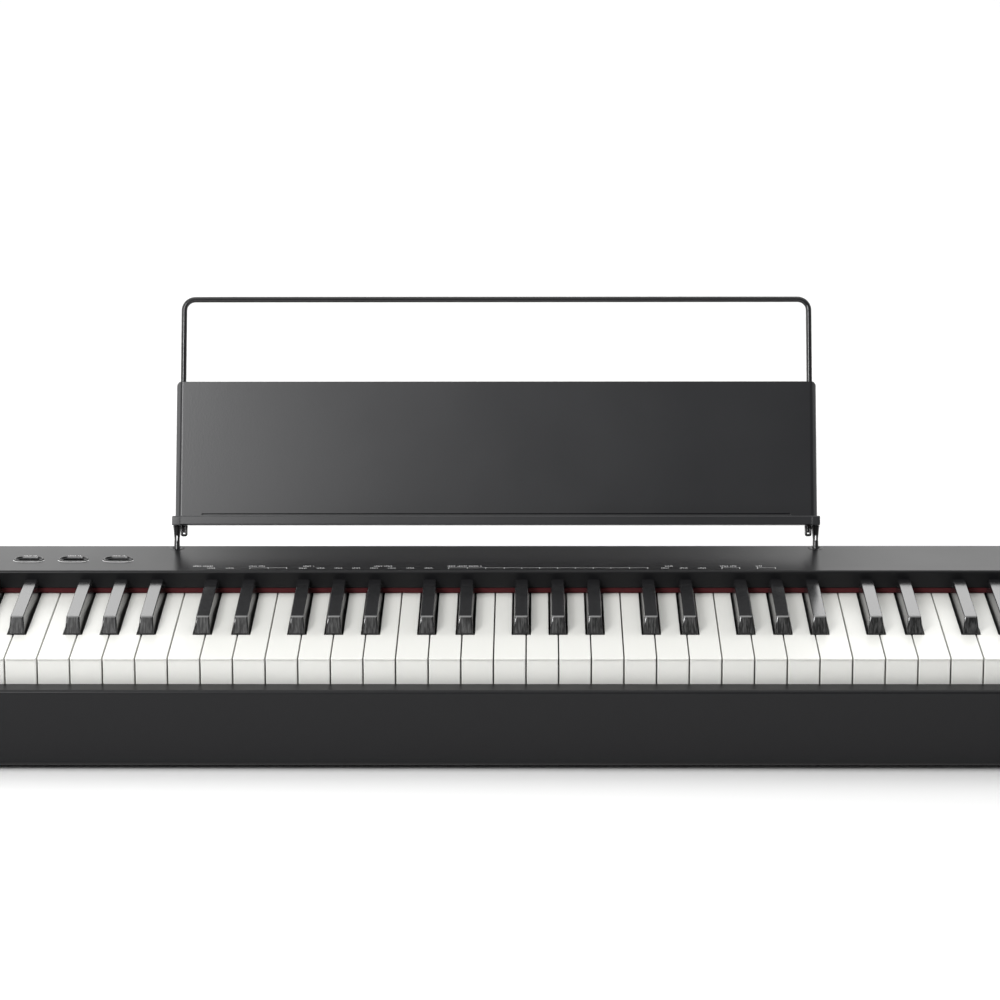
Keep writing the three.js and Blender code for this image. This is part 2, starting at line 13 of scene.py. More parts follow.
import bmesh
import bpy
from mathutils import Matrix, Vector


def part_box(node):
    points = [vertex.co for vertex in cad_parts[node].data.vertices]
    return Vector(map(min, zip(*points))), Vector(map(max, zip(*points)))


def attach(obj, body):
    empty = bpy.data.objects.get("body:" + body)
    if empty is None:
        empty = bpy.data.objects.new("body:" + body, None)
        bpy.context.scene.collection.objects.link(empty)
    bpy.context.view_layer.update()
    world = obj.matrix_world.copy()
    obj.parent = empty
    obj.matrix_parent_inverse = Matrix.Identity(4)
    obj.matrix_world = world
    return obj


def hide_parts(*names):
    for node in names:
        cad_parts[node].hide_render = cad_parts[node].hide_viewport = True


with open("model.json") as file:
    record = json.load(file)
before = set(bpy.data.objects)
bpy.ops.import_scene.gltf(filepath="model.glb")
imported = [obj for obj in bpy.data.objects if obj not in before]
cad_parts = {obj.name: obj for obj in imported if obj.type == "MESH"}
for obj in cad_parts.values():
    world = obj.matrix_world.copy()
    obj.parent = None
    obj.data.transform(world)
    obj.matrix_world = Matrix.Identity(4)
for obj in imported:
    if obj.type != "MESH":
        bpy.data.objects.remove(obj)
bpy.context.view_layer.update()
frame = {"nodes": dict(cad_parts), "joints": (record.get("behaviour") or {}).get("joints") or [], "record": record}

MM = 0.001
scene = bpy.context.scene

# %% [markdown]
# ## Read the driving places from the frame
#
# A maker measures the bare chassis before fitting trim to it. Here that means asking for the box
# of a few CAD nodes. All later places are worked out from these, so if the CAD changed by a
# millimetre the trim would follow it.

# %% Places that everything else hangs on
upper_low, upper_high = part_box("upper_case")
lower_low, lower_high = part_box("lower_case")
middle_c_low, middle_c_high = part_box("key_c4")
cs4_low, cs4_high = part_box("key_cs4")

KEY_FRONT = middle_c_low.y
KEY_REAR = middle_c_high.y
KEY_TOP = middle_c_high.z
KEY_BOTTOM = middle_c_low.z
BLACK_FRONT = cs4_low.y
BLACK_TOP = cs4_high.z
FALLBOARD = upper_low.y
CASE_TOP = upper_high.z
CASE_BACK = upper_high.y
CASE_FRONT = lower_low.y
SLIP_TOP = lower_high.z
FLOOR_OF_CASE = lower_low.z
KEYS_LEFT = lower_low.x
WHITE_PITCH = (lower_high.x - lower_low.x) / 52
OCTAVE = 7 * WHITE_PITCH
print("white key pitch in mm:", round(WHITE_PITCH / MM, 3))

# %% [markdown]
# ## The camera
#
# A long keyboard looks right from a few metres away through a long lens, because its keys then
# stay nearly parallel. The camera stands in front of middle C, a little right of the centre, and
# looks down by 17 degrees. A long focal length with a far camera was chosen over a near wide one
# because a near camera would make the outer keys lean much more than real ones do.

# %% Place the camera
CAMERA_DOWN = radians(17.046)
CAMERA_LEFT = radians(0.545)
CAMERA_ROLL = radians(0.177)
LENS = 139.9
CAMERA_RIGHT = 0.0302
CAMERA_AWAY = 2.6375
CAMERA_ABOVE_KEYS = 0.9281


def make_camera():
    data = bpy.data.cameras.new("camera")
    data.sensor_width = 36
    data.lens = LENS
    data.clip_end = 50
    camera = bpy.data.objects.new("camera", data)
    scene.collection.objects.link(camera)
    turn = Matrix.Rotation(CAMERA_LEFT, 4, "Z") @ Matrix.Rotation(pi / 2 - CAMERA_DOWN, 4, "X")
    turn = turn @ Matrix.Rotation(-CAMERA_ROLL, 4, "Z")
    spot = Vector((CAMERA_RIGHT, KEY_FRONT - CAMERA_AWAY, KEY_TOP + CAMERA_ABOVE_KEYS))
    camera.matrix_world = Matrix.Translation(spot) @ turn
    scene.camera = camera
    return camera


camera = make_camera()
print("camera at", [round(v, 3) for v in camera.matrix_world.translation])

# %% [markdown]
# ## Light
#
# Black plastic is only as good as what it reflects. The room is white, and its far wall is lit
# more than the side where the player sits, so the key tops and the cover get a pale sheen while
# faces turned to the player stay dark. The low part of the far wall is dimmer, which lets the
# music rest show in the cover as a dark patch. The ceiling is bright too, so the key tops stay
# even between the black keys. One soft lamp stands at the left front: it gives the soft shadows
# to the right of the black keys and the slow fade across the rest. A weaker one stands at the far
# left and picks out the folded edge of the rest. A graded world was chosen over many lamps
# because every lamp would leave its own patch in the plastic. Seen directly, the room is plain
# white from every side: only its light is graded.

# %% Node helpers


def add(tree, kind, **values):
    node = tree.nodes.new(kind)
    for key, value in values.items():
        setattr(node, key, value)
    return node


def maths(tree, operation, first, second):
    node = add(tree, "ShaderNodeMath", operation=operation)
    for socket, value in zip(node.inputs, (first, second)):
        if isinstance(value, bpy.types.NodeSocket):
            tree.links.new(value, socket)
        else:
            socket.default_value = value
    return node.outputs[0]


def ease(tree, value, start, end, low, high):
    """A smooth step from low to high while value goes from start to end."""
    node = add(tree, "ShaderNodeMapRange", interpolation_type="SMOOTHSTEP")
    tree.links.new(value, node.inputs["Value"])
    limits = {"From Min": start, "From Max": end, "To Min": low, "To Max": high}
    for label, number in limits.items():
        node.inputs[label].default_value = number
    return node.outputs["Result"]


# %% World and lamps
scene.view_settings.view_transform = "Standard"
FRONT_LEVEL, WALL_LEVEL = 0.27, 2.55
LOW_SHARE, TOP_SHARE_OF_WALL = 0.5, 0.25
CEILING_LEVEL = 1.36
RISE_ANGLES, FALL_ANGLES, CEILING_ANGLES = (6, 22), (30, 45), (45, 65)


def heights(angles):
    """How high a direction points, for a start and an end angle above the horizon."""
    return [sin(radians(angle)) for angle in angles]


def make_world():
    world = bpy.data.worlds.new("white_room")
    scene.world = world
    world.use_nodes = True
    tree = world.node_tree
    background = tree.nodes["Background"]
    background.inputs["Color"].default_value = (1.0, 1.0, 0.995, 1)
    direction = add(tree, "ShaderNodeTexCoord").outputs["Generated"]
    parts = add(tree, "ShaderNodeSeparateXYZ")
    tree.links.new(direction, parts.inputs[0])
    up = parts.outputs["Z"]
    wall = ease(tree, parts.outputs["Y"], -0.1, 0.5, FRONT_LEVEL, WALL_LEVEL)
    rise = ease(tree, up, *heights(RISE_ANGLES), LOW_SHARE, 1.0)
    fall = ease(tree, up, *heights(FALL_ANGLES), 1.0, TOP_SHARE_OF_WALL)
    ceiling = ease(tree, up, *heights(CEILING_ANGLES), 0.0, CEILING_LEVEL)
    level = maths(tree, "MULTIPLY", maths(tree, "MULTIPLY", wall, rise), fall)
    level = maths(tree, "ADD", level, ceiling)
    ray = add(tree, "ShaderNodeLightPath")
    seen = add(tree, "ShaderNodeMix", data_type="FLOAT")
    tree.links.new(ray.outputs["Is Camera Ray"], seen.inputs["Factor"])
    tree.links.new(level, seen.inputs["A"])
    seen.inputs["B"].default_value = 1.0
    tree.links.new(seen.outputs["Result"], background.inputs["Strength"])


def make_softbox(name, place, target, size, power):
    data = bpy.data.lights.new(name, "AREA")
    data.shape = "RECTANGLE"
    data.size, data.size_y = size
    data.energy = power
    lamp = bpy.data.objects.new(name, data)
    scene.collection.objects.link(lamp)
    direction = Vector(target) - Vector(place)
    turn = direction.to_track_quat("-Z", "Y").to_matrix().to_4x4()
    lamp.matrix_world = Matrix.Translation(place) @ turn


make_world()
make_softbox(
    "softbox_left", place=(-1.02, -1.8, 1.55), target=(0.0, 0.05, 0.12), size=(0.55, 0.9), power=37
)
make_softbox(
    "softbox_side", place=(-2.2, 0.1, 0.6), target=(-0.25, 0.12, 0.2), size=(1.2, 0.9), power=7
)
print("lamps:", [light.name for light in bpy.data.lights])

# %% [markdown]
# Studios darken one reflection with a flag, which is a black card held out of the camera's view.
# This one stands behind the music rest and is seen by glossy rays only, so the cover in front of
# the rest reflects dark while its two ends reflect the white wall. It takes no light from the
# scene and shows in no view.

# %% Black card behind the rest


def stage_sheet(name, corners, material):
    bm = bmesh.new()
    bm.faces.new([bm.verts.new(corner) for corner in corners])
    mesh = bpy.data.meshes.new(name)
    bm.to_mesh(mesh)
    bm.free()
    mesh.materials.append(material)
    sheet = bpy.data.objects.new(name, mesh)
    scene.collection.objects.link(sheet)
    return sheet


def plain_material(name, shade, rough):
    material = bpy.data.materials.new(name)
    material.use_nodes = True
    shader = material.node_tree.nodes["Principled BSDF"]
    shader.inputs["Base Color"].default_value = (shade, shade, shade, 1)
    shader.inputs["Roughness"].default_value = rough
    return material


def black_card(left, right, low, high, away):
    corners = [(left, away, low), (right, away, low), (right, away, high), (left, away, high)]
    card = stage_sheet("black_card", corners, plain_material("card_black", 0.2, 1.0))
    card.visible_camera = False
    card.visible_diffuse = False
    card.visible_shadow = False
    card.visible_transmission = False


black_card(left=-0.345, right=0.312, low=0.1, high=1.3, away=1.5)

# %% [markdown]
# ## Shared finish effects
#
# Moulded plastic has a fine spark-eroded texture, and anything that is touched has uneven gloss.
# Both are wanted on many materials, so each is a node group that is built once. A group puts out
# only values that change over the surface; the shader itself stays in each material.

# %% Group and noise helpers


def new_group(name, inputs, outputs):
    group = bpy.data.node_groups.new(name, "ShaderNodeTree")
    for label, default in inputs:
        socket = group.interface.new_socket(label, in_out="INPUT", socket_type="NodeSocketFloat")
        socket.default_value = default
    for label, kind in outputs:
        group.interface.new_socket(label, in_out="OUTPUT", socket_type=kind)
    start = group.nodes.new("NodeGroupInput")
    end = group.nodes.new("NodeGroupOutput")
    return group, start, end


def noise(tree, scale, detail, rough=0.5, vector=None):
    node = add(tree, "ShaderNodeTexNoise")
    node.inputs["Detail"].default_value = detail
    node.inputs["Roughness"].default_value = rough
    if isinstance(scale, bpy.types.NodeSocket):
        tree.links.new(scale, node.inputs["Scale"])
    else:
        node.inputs["Scale"].default_value = scale
    if vector is not None:
        tree.links.new(vector, node.inputs["Vector"])
    return node.outputs["Fac"]


# %% The moulded texture group


def build_moulded_texture():
    group, start, end = new_group(
        "moulded_texture",
        [("Grain Scale", 900.0), ("Smudge Scale", 9.0), ("Smudge Amount", 0.1)],
        [("Height", "NodeSocketFloat"), ("Gloss Change", "NodeSocketFloat")],
    )
    place = add(group, "ShaderNodeTexCoord").outputs["Object"]
    fine = noise(group, start.outputs["Grain Scale"], 2.0, 0.6, place)
    broad = noise(group, start.outputs["Smudge Scale"], 4.0, 0.55, place)
    centred = maths(group, "SUBTRACT", broad, 0.5)
    change = maths(group, "MULTIPLY", centred, start.outputs["Smudge Amount"])
    group.links.new(fine, end.inputs["Height"])
    group.links.new(change, end.inputs["Gloss Change"])
    return group


# %% The stretched grain group


def build_long_grain():
    group, start, end = new_group(
        "long_grain",
        [("Across", 1400.0), ("Along", 60.0), ("Contrast", 1.0)],
        [("Height", "NodeSocketFloat"), ("Streak", "NodeSocketFloat")],
    )
    place = add(group, "ShaderNodeTexCoord").outputs["Object"]
    stretch = add(group, "ShaderNodeCombineXYZ")
    group.links.new(start.outputs["Across"], stretch.inputs["X"])
    group.links.new(start.outputs["Along"], stretch.inputs["Y"])
    group.links.new(start.outputs["Along"], stretch.inputs["Z"])
    scaled = add(group, "ShaderNodeVectorMath", operation="MULTIPLY")
    group.links.new(place, scaled.inputs[0])
    group.links.new(stretch.outputs[0], scaled.inputs[1])
    lines = noise(group, 1.0, 3.0, 0.7, scaled.outputs[0])
    centred = maths(group, "SUBTRACT", lines, 0.5)
    streak = maths(group, "MULTIPLY", centred, start.outputs["Contrast"])
    group.links.new(lines, end.inputs["Height"])
    group.links.new(streak, end.inputs["Streak"])
    return group


MOULDED = build_moulded_texture()
LONG_GRAIN = build_long_grain()
print("node groups:", [group.name for group in bpy.data.node_groups])

# %% [markdown]
# ## One way to make every finish
#
# Each finish is a Principled shader. Its constant numbers sit on the shader's own sockets, and
# only the texture's changes are linked in. The base colour is mixed between a lighter and a
# darker tone by the broad noise, so no surface is one flat colour.

# %% Finish builder


def new_material(name, rough, metal=0.0, **constants):
    material = bpy.data.materials.new(name)
    material.use_nodes = True
    shader = material.node_tree.nodes["Principled BSDF"]
    shader.inputs["Roughness"].default_value = rough
    shader.inputs["Metallic"].default_value = metal
    for label, value in constants.items():
        shader.inputs[label.replace("_", " ")].default_value = value
    return material, material.node_tree, shader


def use_group(tree, group, **values):
    node = add(tree, "ShaderNodeGroup", node_tree=group)
    for label, value in values.items():
        node.inputs[label.replace("_", " ")].default_value = value
    return node


def link_bump(tree, shader, height, depth):
    bump = add(tree, "ShaderNodeBump")
    bump.inputs["Strength"].default_value = 1.0
    bump.inputs["Distance"].default_value = depth
    tree.links.new(height, bump.inputs["Height"])
    tree.links.new(bump.outputs["Normal"], shader.inputs["Normal"])


def link_tones(tree, shader, factor, dark, light):
    mix = add(tree, "ShaderNodeMix", data_type="RGBA")
    mix.inputs["A"].default_value = (*dark, 1)
    mix.inputs["B"].default_value = (*light, 1)
    tree.links.new(factor, mix.inputs["Factor"])
    tree.links.new(mix.outputs["Result"], shader.inputs["Base Color"])


def moulded_plastic(name, dark, light, rough, depth, grain=900.0, smudge=0.1, metal=0.0, **more):
    material, tree, shader = new_material(name, rough, metal, **more)
    texture = use_group(tree, MOULDED, Grain_Scale=grain, Smudge_Amount=smudge)
    link_bump(tree, shader, texture.outputs["Height"], depth)
    gloss = maths(tree, "ADD", texture.outputs["Gloss Change"], rough)
    tree.links.new(gloss, shader.inputs["Roughness"])
    factor = maths(tree, "ADD", maths(tree, "MULTIPLY", texture.outputs["Gloss Change"], 5.0), 0.5)
    link_tones(tree, shader, factor, dark, light)
    return material


# %% Plastic, rubber and metal finishes
CHARCOAL = moulded_plastic(
    "charcoal_case", (0.006, 0.006, 0.007), (0.010, 0.010, 0.011), 0.34, 3e-6, IOR=1.31
)
WHITE_PLASTIC = moulded_plastic(
    "white_key", (0.76, 0.76, 0.725), (0.79, 0.79, 0.76), 0.35, 1e-6, IOR=1.4
)
GREY_REST = moulded_plastic(
    "grey_rest", (0.004, 0.0045, 0.006), (0.008, 0.0085, 0.011), 0.34, 3e-5, 700, IOR=1.6
)
BLACK_BUTTON = moulded_plastic(
    "black_button", (0.012, 0.012, 0.013), (0.018, 0.018, 0.019), 0.28, 3e-6
)
BLACK_FITTING = moulded_plastic(
    "black_fitting", (0.010, 0.010, 0.011), (0.016, 0.016, 0.017), 0.45, 5e-6
)
FOOT_RUBBER = moulded_plastic(
    "foot_rubber", (0.010, 0.010, 0.010), (0.02, 0.02, 0.02), 0.8, 2e-5, 500
)
CHASSIS = moulded_plastic("chassis_plastic", (0.22, 0.22, 0.21), (0.30, 0.30, 0.29), 0.55, 8e-6)
BOARD_GREEN = moulded_plastic(
    "circuit_board", (0.02, 0.075, 0.03), (0.04, 0.12, 0.05), 0.4, 1e-5, 300
)
SILICONE = moulded_plastic("contact_rubber", (0.42, 0.40, 0.37), (0.5, 0.48, 0.44), 0.7, 1e-5, 400)
SPEAKER_STEEL = moulded_plastic(
    "speaker_frame", (0.02, 0.021, 0.022), (0.04, 0.041, 0.043), 0.4, 6e-6, metal=0.6
)
ROD_BLACK = moulded_plastic(
    "black_rod", (0.008, 0.008, 0.009), (0.013, 0.013, 0.014), 0.16, 1e-6, smudge=0.06
)
SCREW_STEEL = moulded_plastic(
    "screw_steel", (0.10, 0.10, 0.10), (0.16, 0.16, 0.16), 0.35, 2e-6, metal=1.0
)
PRINT_WHITE = moulded_plastic("printed_white", (0.85, 0.85, 0.85), (0.92, 0.92, 0.92), 0.5, 1e-6)
# Near-white, used only for the ring round each button hole: a painted highlight for a lit chamfer.
PAINTED_HOLE_HIGHLIGHT = moulded_plastic("rim_silver", (0.72, 0.72, 0.72), (0.8, 0.8, 0.8), 0.25, 1e-6)
FINISHES = [material.name for material in bpy.data.materials]
print(len(FINISHES), "finishes")

# %% [markdown]
# ## Black key tops and felt
#
# Black keys have a polished top, a fine wood-like grain moulded into their sloping front, and a
# paler band between the two, which is a painted highlight for the light their rounded edge catches.
# The grain's bump is a noise stretched along Y and Z. Felt is many short fibres: a fine noise for
# the nap, with sheen on top.

# %% Black key grain


def black_key_grain():
    material, tree, shader = new_material("black_key_grain", 0.42, IOR=1.35)
    grain = use_group(tree, LONG_GRAIN, Across=760.0, Along=100.0, Contrast=4.6)
    link_bump(tree, shader, grain.outputs["Height"], 1.4e-4)
    factor = maths(tree, "ADD", grain.outputs["Streak"], 0.3)
    link_tones(tree, shader, factor, (0.002, 0.002, 0.002), (0.075, 0.075, 0.075))
    return material


def felt_finish(name, dark, light):
    material, tree, shader = new_material(name, 0.95)
    shader.inputs["Sheen Weight"].default_value = 0.06
    texture = use_group(tree, MOULDED, Grain_Scale=1600.0, Smudge_Scale=300.0, Smudge_Amount=0.2)
    link_bump(tree, shader, texture.outputs["Height"], 2e-4)
    factor = maths(tree, "ADD", maths(tree, "MULTIPLY", texture.outputs["Gloss Change"], 5.0), 0.5)
    link_tones(tree, shader, factor, dark, light)
    return material


BLACK_GLOSS = moulded_plastic(
    "black_key", (0.010, 0.010, 0.011), (0.014, 0.014, 0.015), 0.18, 5e-7, IOR=1.67
)
# A paler black for the strip round the top of each black key's front: a painted highlight for the light its
# rounded edge catches.
BLACK_PAINTED_HIGHLIGHT = moulded_plastic(
    "black_key_rim", (0.12, 0.12, 0.12), (0.17, 0.17, 0.17), 0.3, 5e-7, IOR=1.67
)
BLACK_GRAIN = black_key_grain()
RED_FELT = felt_finish("red_felt", (0.040, 0.0015, 0.003), (0.085, 0.004, 0.007))
GREY_FELT = felt_finish("grey_felt", (0.15, 0.15, 0.145), (0.25, 0.25, 0.24))

# %% [markdown]
# ## From a bmesh to a finished piece
#
# Every piece ends the same way: its normals are made to point out, smooth shading is set with
# sharp edges kept above 40 degrees, and a weighted-normal modifier keeps flat faces flat beside
# their rounded edges. Then it rides on its body, and the CAD nodes it covers are hidden. Most
# pieces start as an outline of a few corners that is drawn out, and a bevel rounds their edges.

# %% Finish a piece


def finish_piece(name, bm, material, body, covers=(), weighted=True, others=()):
    bmesh.ops.remove_doubles(bm, verts=bm.verts, dist=1e-7)
    bmesh.ops.recalc_face_normals(bm, faces=bm.faces)
    mesh = bpy.data.meshes.new(name)
    bm.to_mesh(mesh)
    bm.free()
    for finish in (material, *others):
        mesh.materials.append(finish)
    mesh.shade_smooth()
    mesh.set_sharp_from_angle(angle=radians(40))
    piece = bpy.data.objects.new(name, mesh)
    scene.collection.objects.link(piece)
    if weighted:
        modifier = piece.modifiers.new("even_shading", "WEIGHTED_NORMAL")
        modifier.keep_sharp = True
    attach(piece, body)
    if covers:
        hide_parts(*covers)
    return piece


# %% Shapes from an outline


def outline_face(bm, corners):
    """One face through listed corners, given as full 3-D points."""
    return bm.faces.new([bm.verts.new(corner) for corner in corners])


def round_corners(bm, verts, radius, segments=6):
    bmesh.ops.bevel(
        bm, geom=list(verts), offset=radius, offset_type="OFFSET", affect="VERTICES",
        segments=segments, profile=0.5, material=-1, clamp_overlap=True,
    )


def draw_out(bm, faces, offset):
    """Extrude faces and move the new end by offset. Returns the moved faces."""
    made = bmesh.ops.extrude_face_region(bm, geom=list(faces))["geom"]
    verts = [item for item in made if isinstance(item, bmesh.types.BMVert)]
    bmesh.ops.translate(bm, verts=verts, vec=offset)
    return [item for item in made if isinstance(item, bmesh.types.BMFace)]


def round_edges(bm, edges, radius, segments=3):
    bmesh.ops.bevel(
        bm, geom=list(edges), offset=radius, offset_type="OFFSET", affect="EDGES",
        segments=segments, profile=0.5, material=-1, clamp_overlap=True,
    )


def sharp_edges(bm, above=radians(30)):
    joined = [edge for edge in bm.edges if len(edge.link_faces) == 2]
    return [edge for edge in joined if edge.calc_face_angle() > above]


# %% [markdown]
# ## White keys
#
# A white key is one moulding: a thin top with a tiny overhang at the front, a fine groove under
# that lip, and a body that narrows beside each black key. The outline is drawn once per key from
# the two neighbours' notches, extruded down, and its edges rounded. The groove is made by cutting
# the front at four heights and moving the cuts back. A cube with boolean notches would work too,
# but its inner corners would be harder to round.

# %% Where each key is
SLOT_WIDTH = 14.1 * MM
KEY_GAP = 1.0 * MM
FRONT_CORNER = 0.8 * MM
NOTCH = KEY_FRONT + 52.9 * MM
BLACK_AFTER = {
    0: 1.5 * SLOT_WIDTH,
    1: 3.5 * SLOT_WIDTH,
    3: 90.45 * MM,
    4: 117.45 * MM,
    5: 144.45 * MM,
}
LETTERS = "cdefgab"


def octave_left(octave):
    return KEYS_LEFT + (2 * WHITE_PITCH) + (octave - 1) * OCTAVE


def white_node(octave, index):
    if octave == 4:
        return f"key_{LETTERS[index]}4"
    return "key_c8" if octave == 8 else f"white_keys_{octave}"


def black_node(octave, index):
    if octave in (0, 4):
        return f"key_{LETTERS[index]}s{octave}"
    return f"black_keys_{octave}"


WHITE_KEYS = [(0, 5), (0, 6)]
WHITE_KEYS += [(octave, index) for octave in range(1, 8) for index in range(7)]
WHITE_KEYS += [(8, 0)]
BLACK_KEYS = [(0, 5)]
BLACK_KEYS += [(octave, index) for octave in range(1, 8) for index in BLACK_AFTER]
print(len(WHITE_KEYS), "white keys,", len(BLACK_KEYS), "black keys")

# %% Model a white key
TOP_EDGE = 0.4 * MM
LIP_DEPTH = 0.65 * MM
GROOVE = ((0, 0), (0.05 * MM, 0.8 * MM), (0.45 * MM, 0.8 * MM), (0.5 * MM, 0.35 * MM))


def tail_sides(octave, index):
    left = octave_left(octave) + index * WHITE_PITCH + KEY_GAP / 2
    right = left + WHITE_PITCH - KEY_GAP
    tail_left, tail_right = left, right
    if (octave, index - 1) in BLACK_KEYS:
        tail_left = octave_left(octave) + BLACK_AFTER[index - 1] + SLOT_WIDTH / 2
    if (octave, index) in BLACK_KEYS:
        tail_right = octave_left(octave) + BLACK_AFTER[index] - SLOT_WIDTH / 2
    return left, right, tail_left, tail_right


def white_outline(octave, index):
    left, right, tail_left, tail_right = tail_sides(octave, index)
    corners = [(tail_left, KEY_REAR)]
    if tail_left > left:
        corners += [(tail_left, NOTCH), (left, NOTCH)]
    corners += [(left, KEY_FRONT), (right, KEY_FRONT)]
    if tail_right < right:
        corners += [(right, NOTCH), (tail_right, NOTCH)]
    return corners + [(tail_right, KEY_REAR)]


def front_groove(bm):
    """Cut the front level with each step of the groove, and move each cut back by its recess."""
    near_front = KEY_FRONT + 2 * MM
    foot = [v for v in bm.verts if v.co.y < near_front and v.co.z < KEY_BOTTOM + MM]
    bmesh.ops.translate(bm, verts=foot, vec=(0, GROOVE[-1][1], 0))
    for below_lip, recess in GROOVE:
        geometry = bm.verts[:] + bm.edges[:] + bm.faces[:]
        level = (0, 0, KEY_TOP - LIP_DEPTH - below_lip)
        cut = bmesh.ops.bisect_plane(bm, geom=geometry, plane_co=level, plane_no=(0, 0, 1))
        verts = [v for v in cut["geom_cut"] if isinstance(v, bmesh.types.BMVert)]
        ring = [v for v in verts if v.co.y < near_front]
        bmesh.ops.translate(bm, verts=ring, vec=(0, recess, 0))


def white_key(octave, index):
    bm = bmesh.new()
    corners = [(x, y, KEY_TOP) for x, y in white_outline(octave, index)]
    top = outline_face(bm, corners)
    round_corners(bm, [v for v in bm.verts if v.co.y < NOTCH + MM], FRONT_CORNER, 3)
    draw_out(bm, bm.faces[:], (0, 0, KEY_BOTTOM - KEY_TOP))
    top_edges = [e for e in bm.edges if all(v.co.z > KEY_TOP - 1e-6 for v in e.verts)]
    round_edges(bm, top_edges, TOP_EDGE, 3)
    front_groove(bm)
    node = white_node(octave, index)
    name = f"white_key_{LETTERS[index]}{octave}"
    return finish_piece(name, bm, WHITE_PLASTIC, node, [node])


for octave, index in WHITE_KEYS:
    white_key(octave, index)
print("modelled the white keys")

# %% [markdown]
# ## Black keys
#
# A black key is drawn from its side: an upright start, a sloping front, a long flat top, and a
# lower tail that disappears under the fallboard. It is 12 mm wide at the white keys and narrows
# to 9.6 mm at the top. The side view is extruded across, cut level with the white keys, and the
# part above that cut is tapered. The sloping front carries a slightly raised panel with rounded
# top corners, made by an inset and a vertex bevel. The strip round its top is painted pale, as a
# painted highlight for the light the rounded edge catches.

# %% Model a black key
BLACK_WIDTH = 12 * MM
TOP_SHARE = 9.6 / 12
SLOPE_RUN = 6.4 * MM
BLACK_REAR = KEY_FRONT + 147 * MM
PANEL_INSET, PANEL_RISE, ARCH_RADIUS = 0.6 * MM, 0.15 * MM, 2.6 * MM
# How far down from the key top the painted highlight band reaches.
HIGHLIGHT_BAND = 2.2 * MM


def black_side_view(left):
    tail_top = KEY_TOP - 1 * MM
    return [
        (left, BLACK_FRONT, KEY_BOTTOM),
        (left, BLACK_FRONT, KEY_TOP + 0.4 * MM),
        (left, BLACK_FRONT + SLOPE_RUN, BLACK_TOP),
        (left, BLACK_REAR, BLACK_TOP),
        (left, BLACK_REAR, tail_top),
        (left, KEY_REAR, tail_top),
        (left, KEY_REAR, KEY_BOTTOM),
    ]


def taper(bm, centre):
    for vert in bm.verts:
        rise = (vert.co.z - KEY_TOP) / (BLACK_TOP - KEY_TOP)
        if rise > 0:
            share = 1 + (TOP_SHARE - 1) * rise
            vert.co.x = centre + (vert.co.x - centre) * share


def slope_sides(bm):
    """The two edges that run up the sides of the sloping front."""
    limit = BLACK_FRONT + SLOPE_RUN + 0.1 * MM
    front = [e for e in bm.edges if all(v.co.y < limit and v.co.z > KEY_TOP for v in e.verts)]
    return [e for e in front if abs(e.verts[0].co.z - e.verts[1].co.z) > 5 * MM]


def faces_above(bm, height, lean):
    """The faces with their middle above height that face the player, with normal.y below lean."""
    forward = [f for f in bm.faces if f.normal.y < lean]
    return [f for f in forward if f.calc_center_median().z > height]


def sloping_front(bm):
    return max(faces_above(bm, KEY_TOP + 2 * MM, -0.5), key=lambda f: f.calc_area())


def grained_arch(bm):
    """Raise the sloping front a little, with arched top corners, and give it the grained finish."""
    bmesh.ops.recalc_face_normals(bm, faces=bm.faces)
    slope = sloping_front(bm)
    bmesh.ops.inset_region(bm, faces=[slope], thickness=PANEL_INSET, depth=PANEL_RISE)
    top = max(v.co.z for v in slope.verts)
    round_corners(bm, [v for v in slope.verts if v.co.z > top - 0.1 * MM], ARCH_RADIUS, 5)
    bm.normal_update()
    grained = sloping_front(bm)
    grained.material_index = 1
    # The faces round the top of the front get the pale painted highlight.
    for face in faces_above(bm, BLACK_TOP - HIGHLIGHT_BAND, -0.15):
        if face is not grained:
            face.material_index = 2


def black_key(octave, index):
    centre = octave_left(octave) + BLACK_AFTER[index]
    left = centre - BLACK_WIDTH / 2
    bm = bmesh.new()
    side = outline_face(bm, black_side_view(left))
    draw_out(bm, [side], (BLACK_WIDTH, 0, 0))
    taper(bm, centre)
    round_edges(bm, slope_sides(bm), 0.8 * MM, 3)
    crown_low = BLACK_TOP - 0.4 * MM
    sharp = sharp_edges(bm, radians(25))
    round_edges(bm, [e for e in sharp if min(v.co.z for v in e.verts) > crown_low], 0.6 * MM, 3)
    grained_arch(bm)
    node = black_node(octave, index)
    name = f"black_key_{LETTERS[index]}s{octave}"
    finishes = (BLACK_GRAIN, BLACK_PAINTED_HIGHLIGHT)
    return finish_piece(name, bm, BLACK_GLOSS, node, [node], others=finishes)


for octave, index in BLACK_KEYS:
    black_key(octave, index)
print("modelled the black keys")

# %% [markdown]
# ## Carving holes
#
# Button holes and sound slots go right through a moulded wall. Modelling a wall around each hole
# by hand is slow, so a cutter is made for each and a Boolean takes them all out at once. The
# result comes back as a bmesh, so its fresh edges can be rounded like any others.

# %% Boolean helper


def temporary_object(name, bm):
    bmesh.ops.recalc_face_normals(bm, faces=bm.faces)
    mesh = bpy.data.meshes.new(name)
    bm.to_mesh(mesh)
    bm.free()
    thing = bpy.data.objects.new(name, mesh)
    scene.collection.objects.link(thing)
    return thing


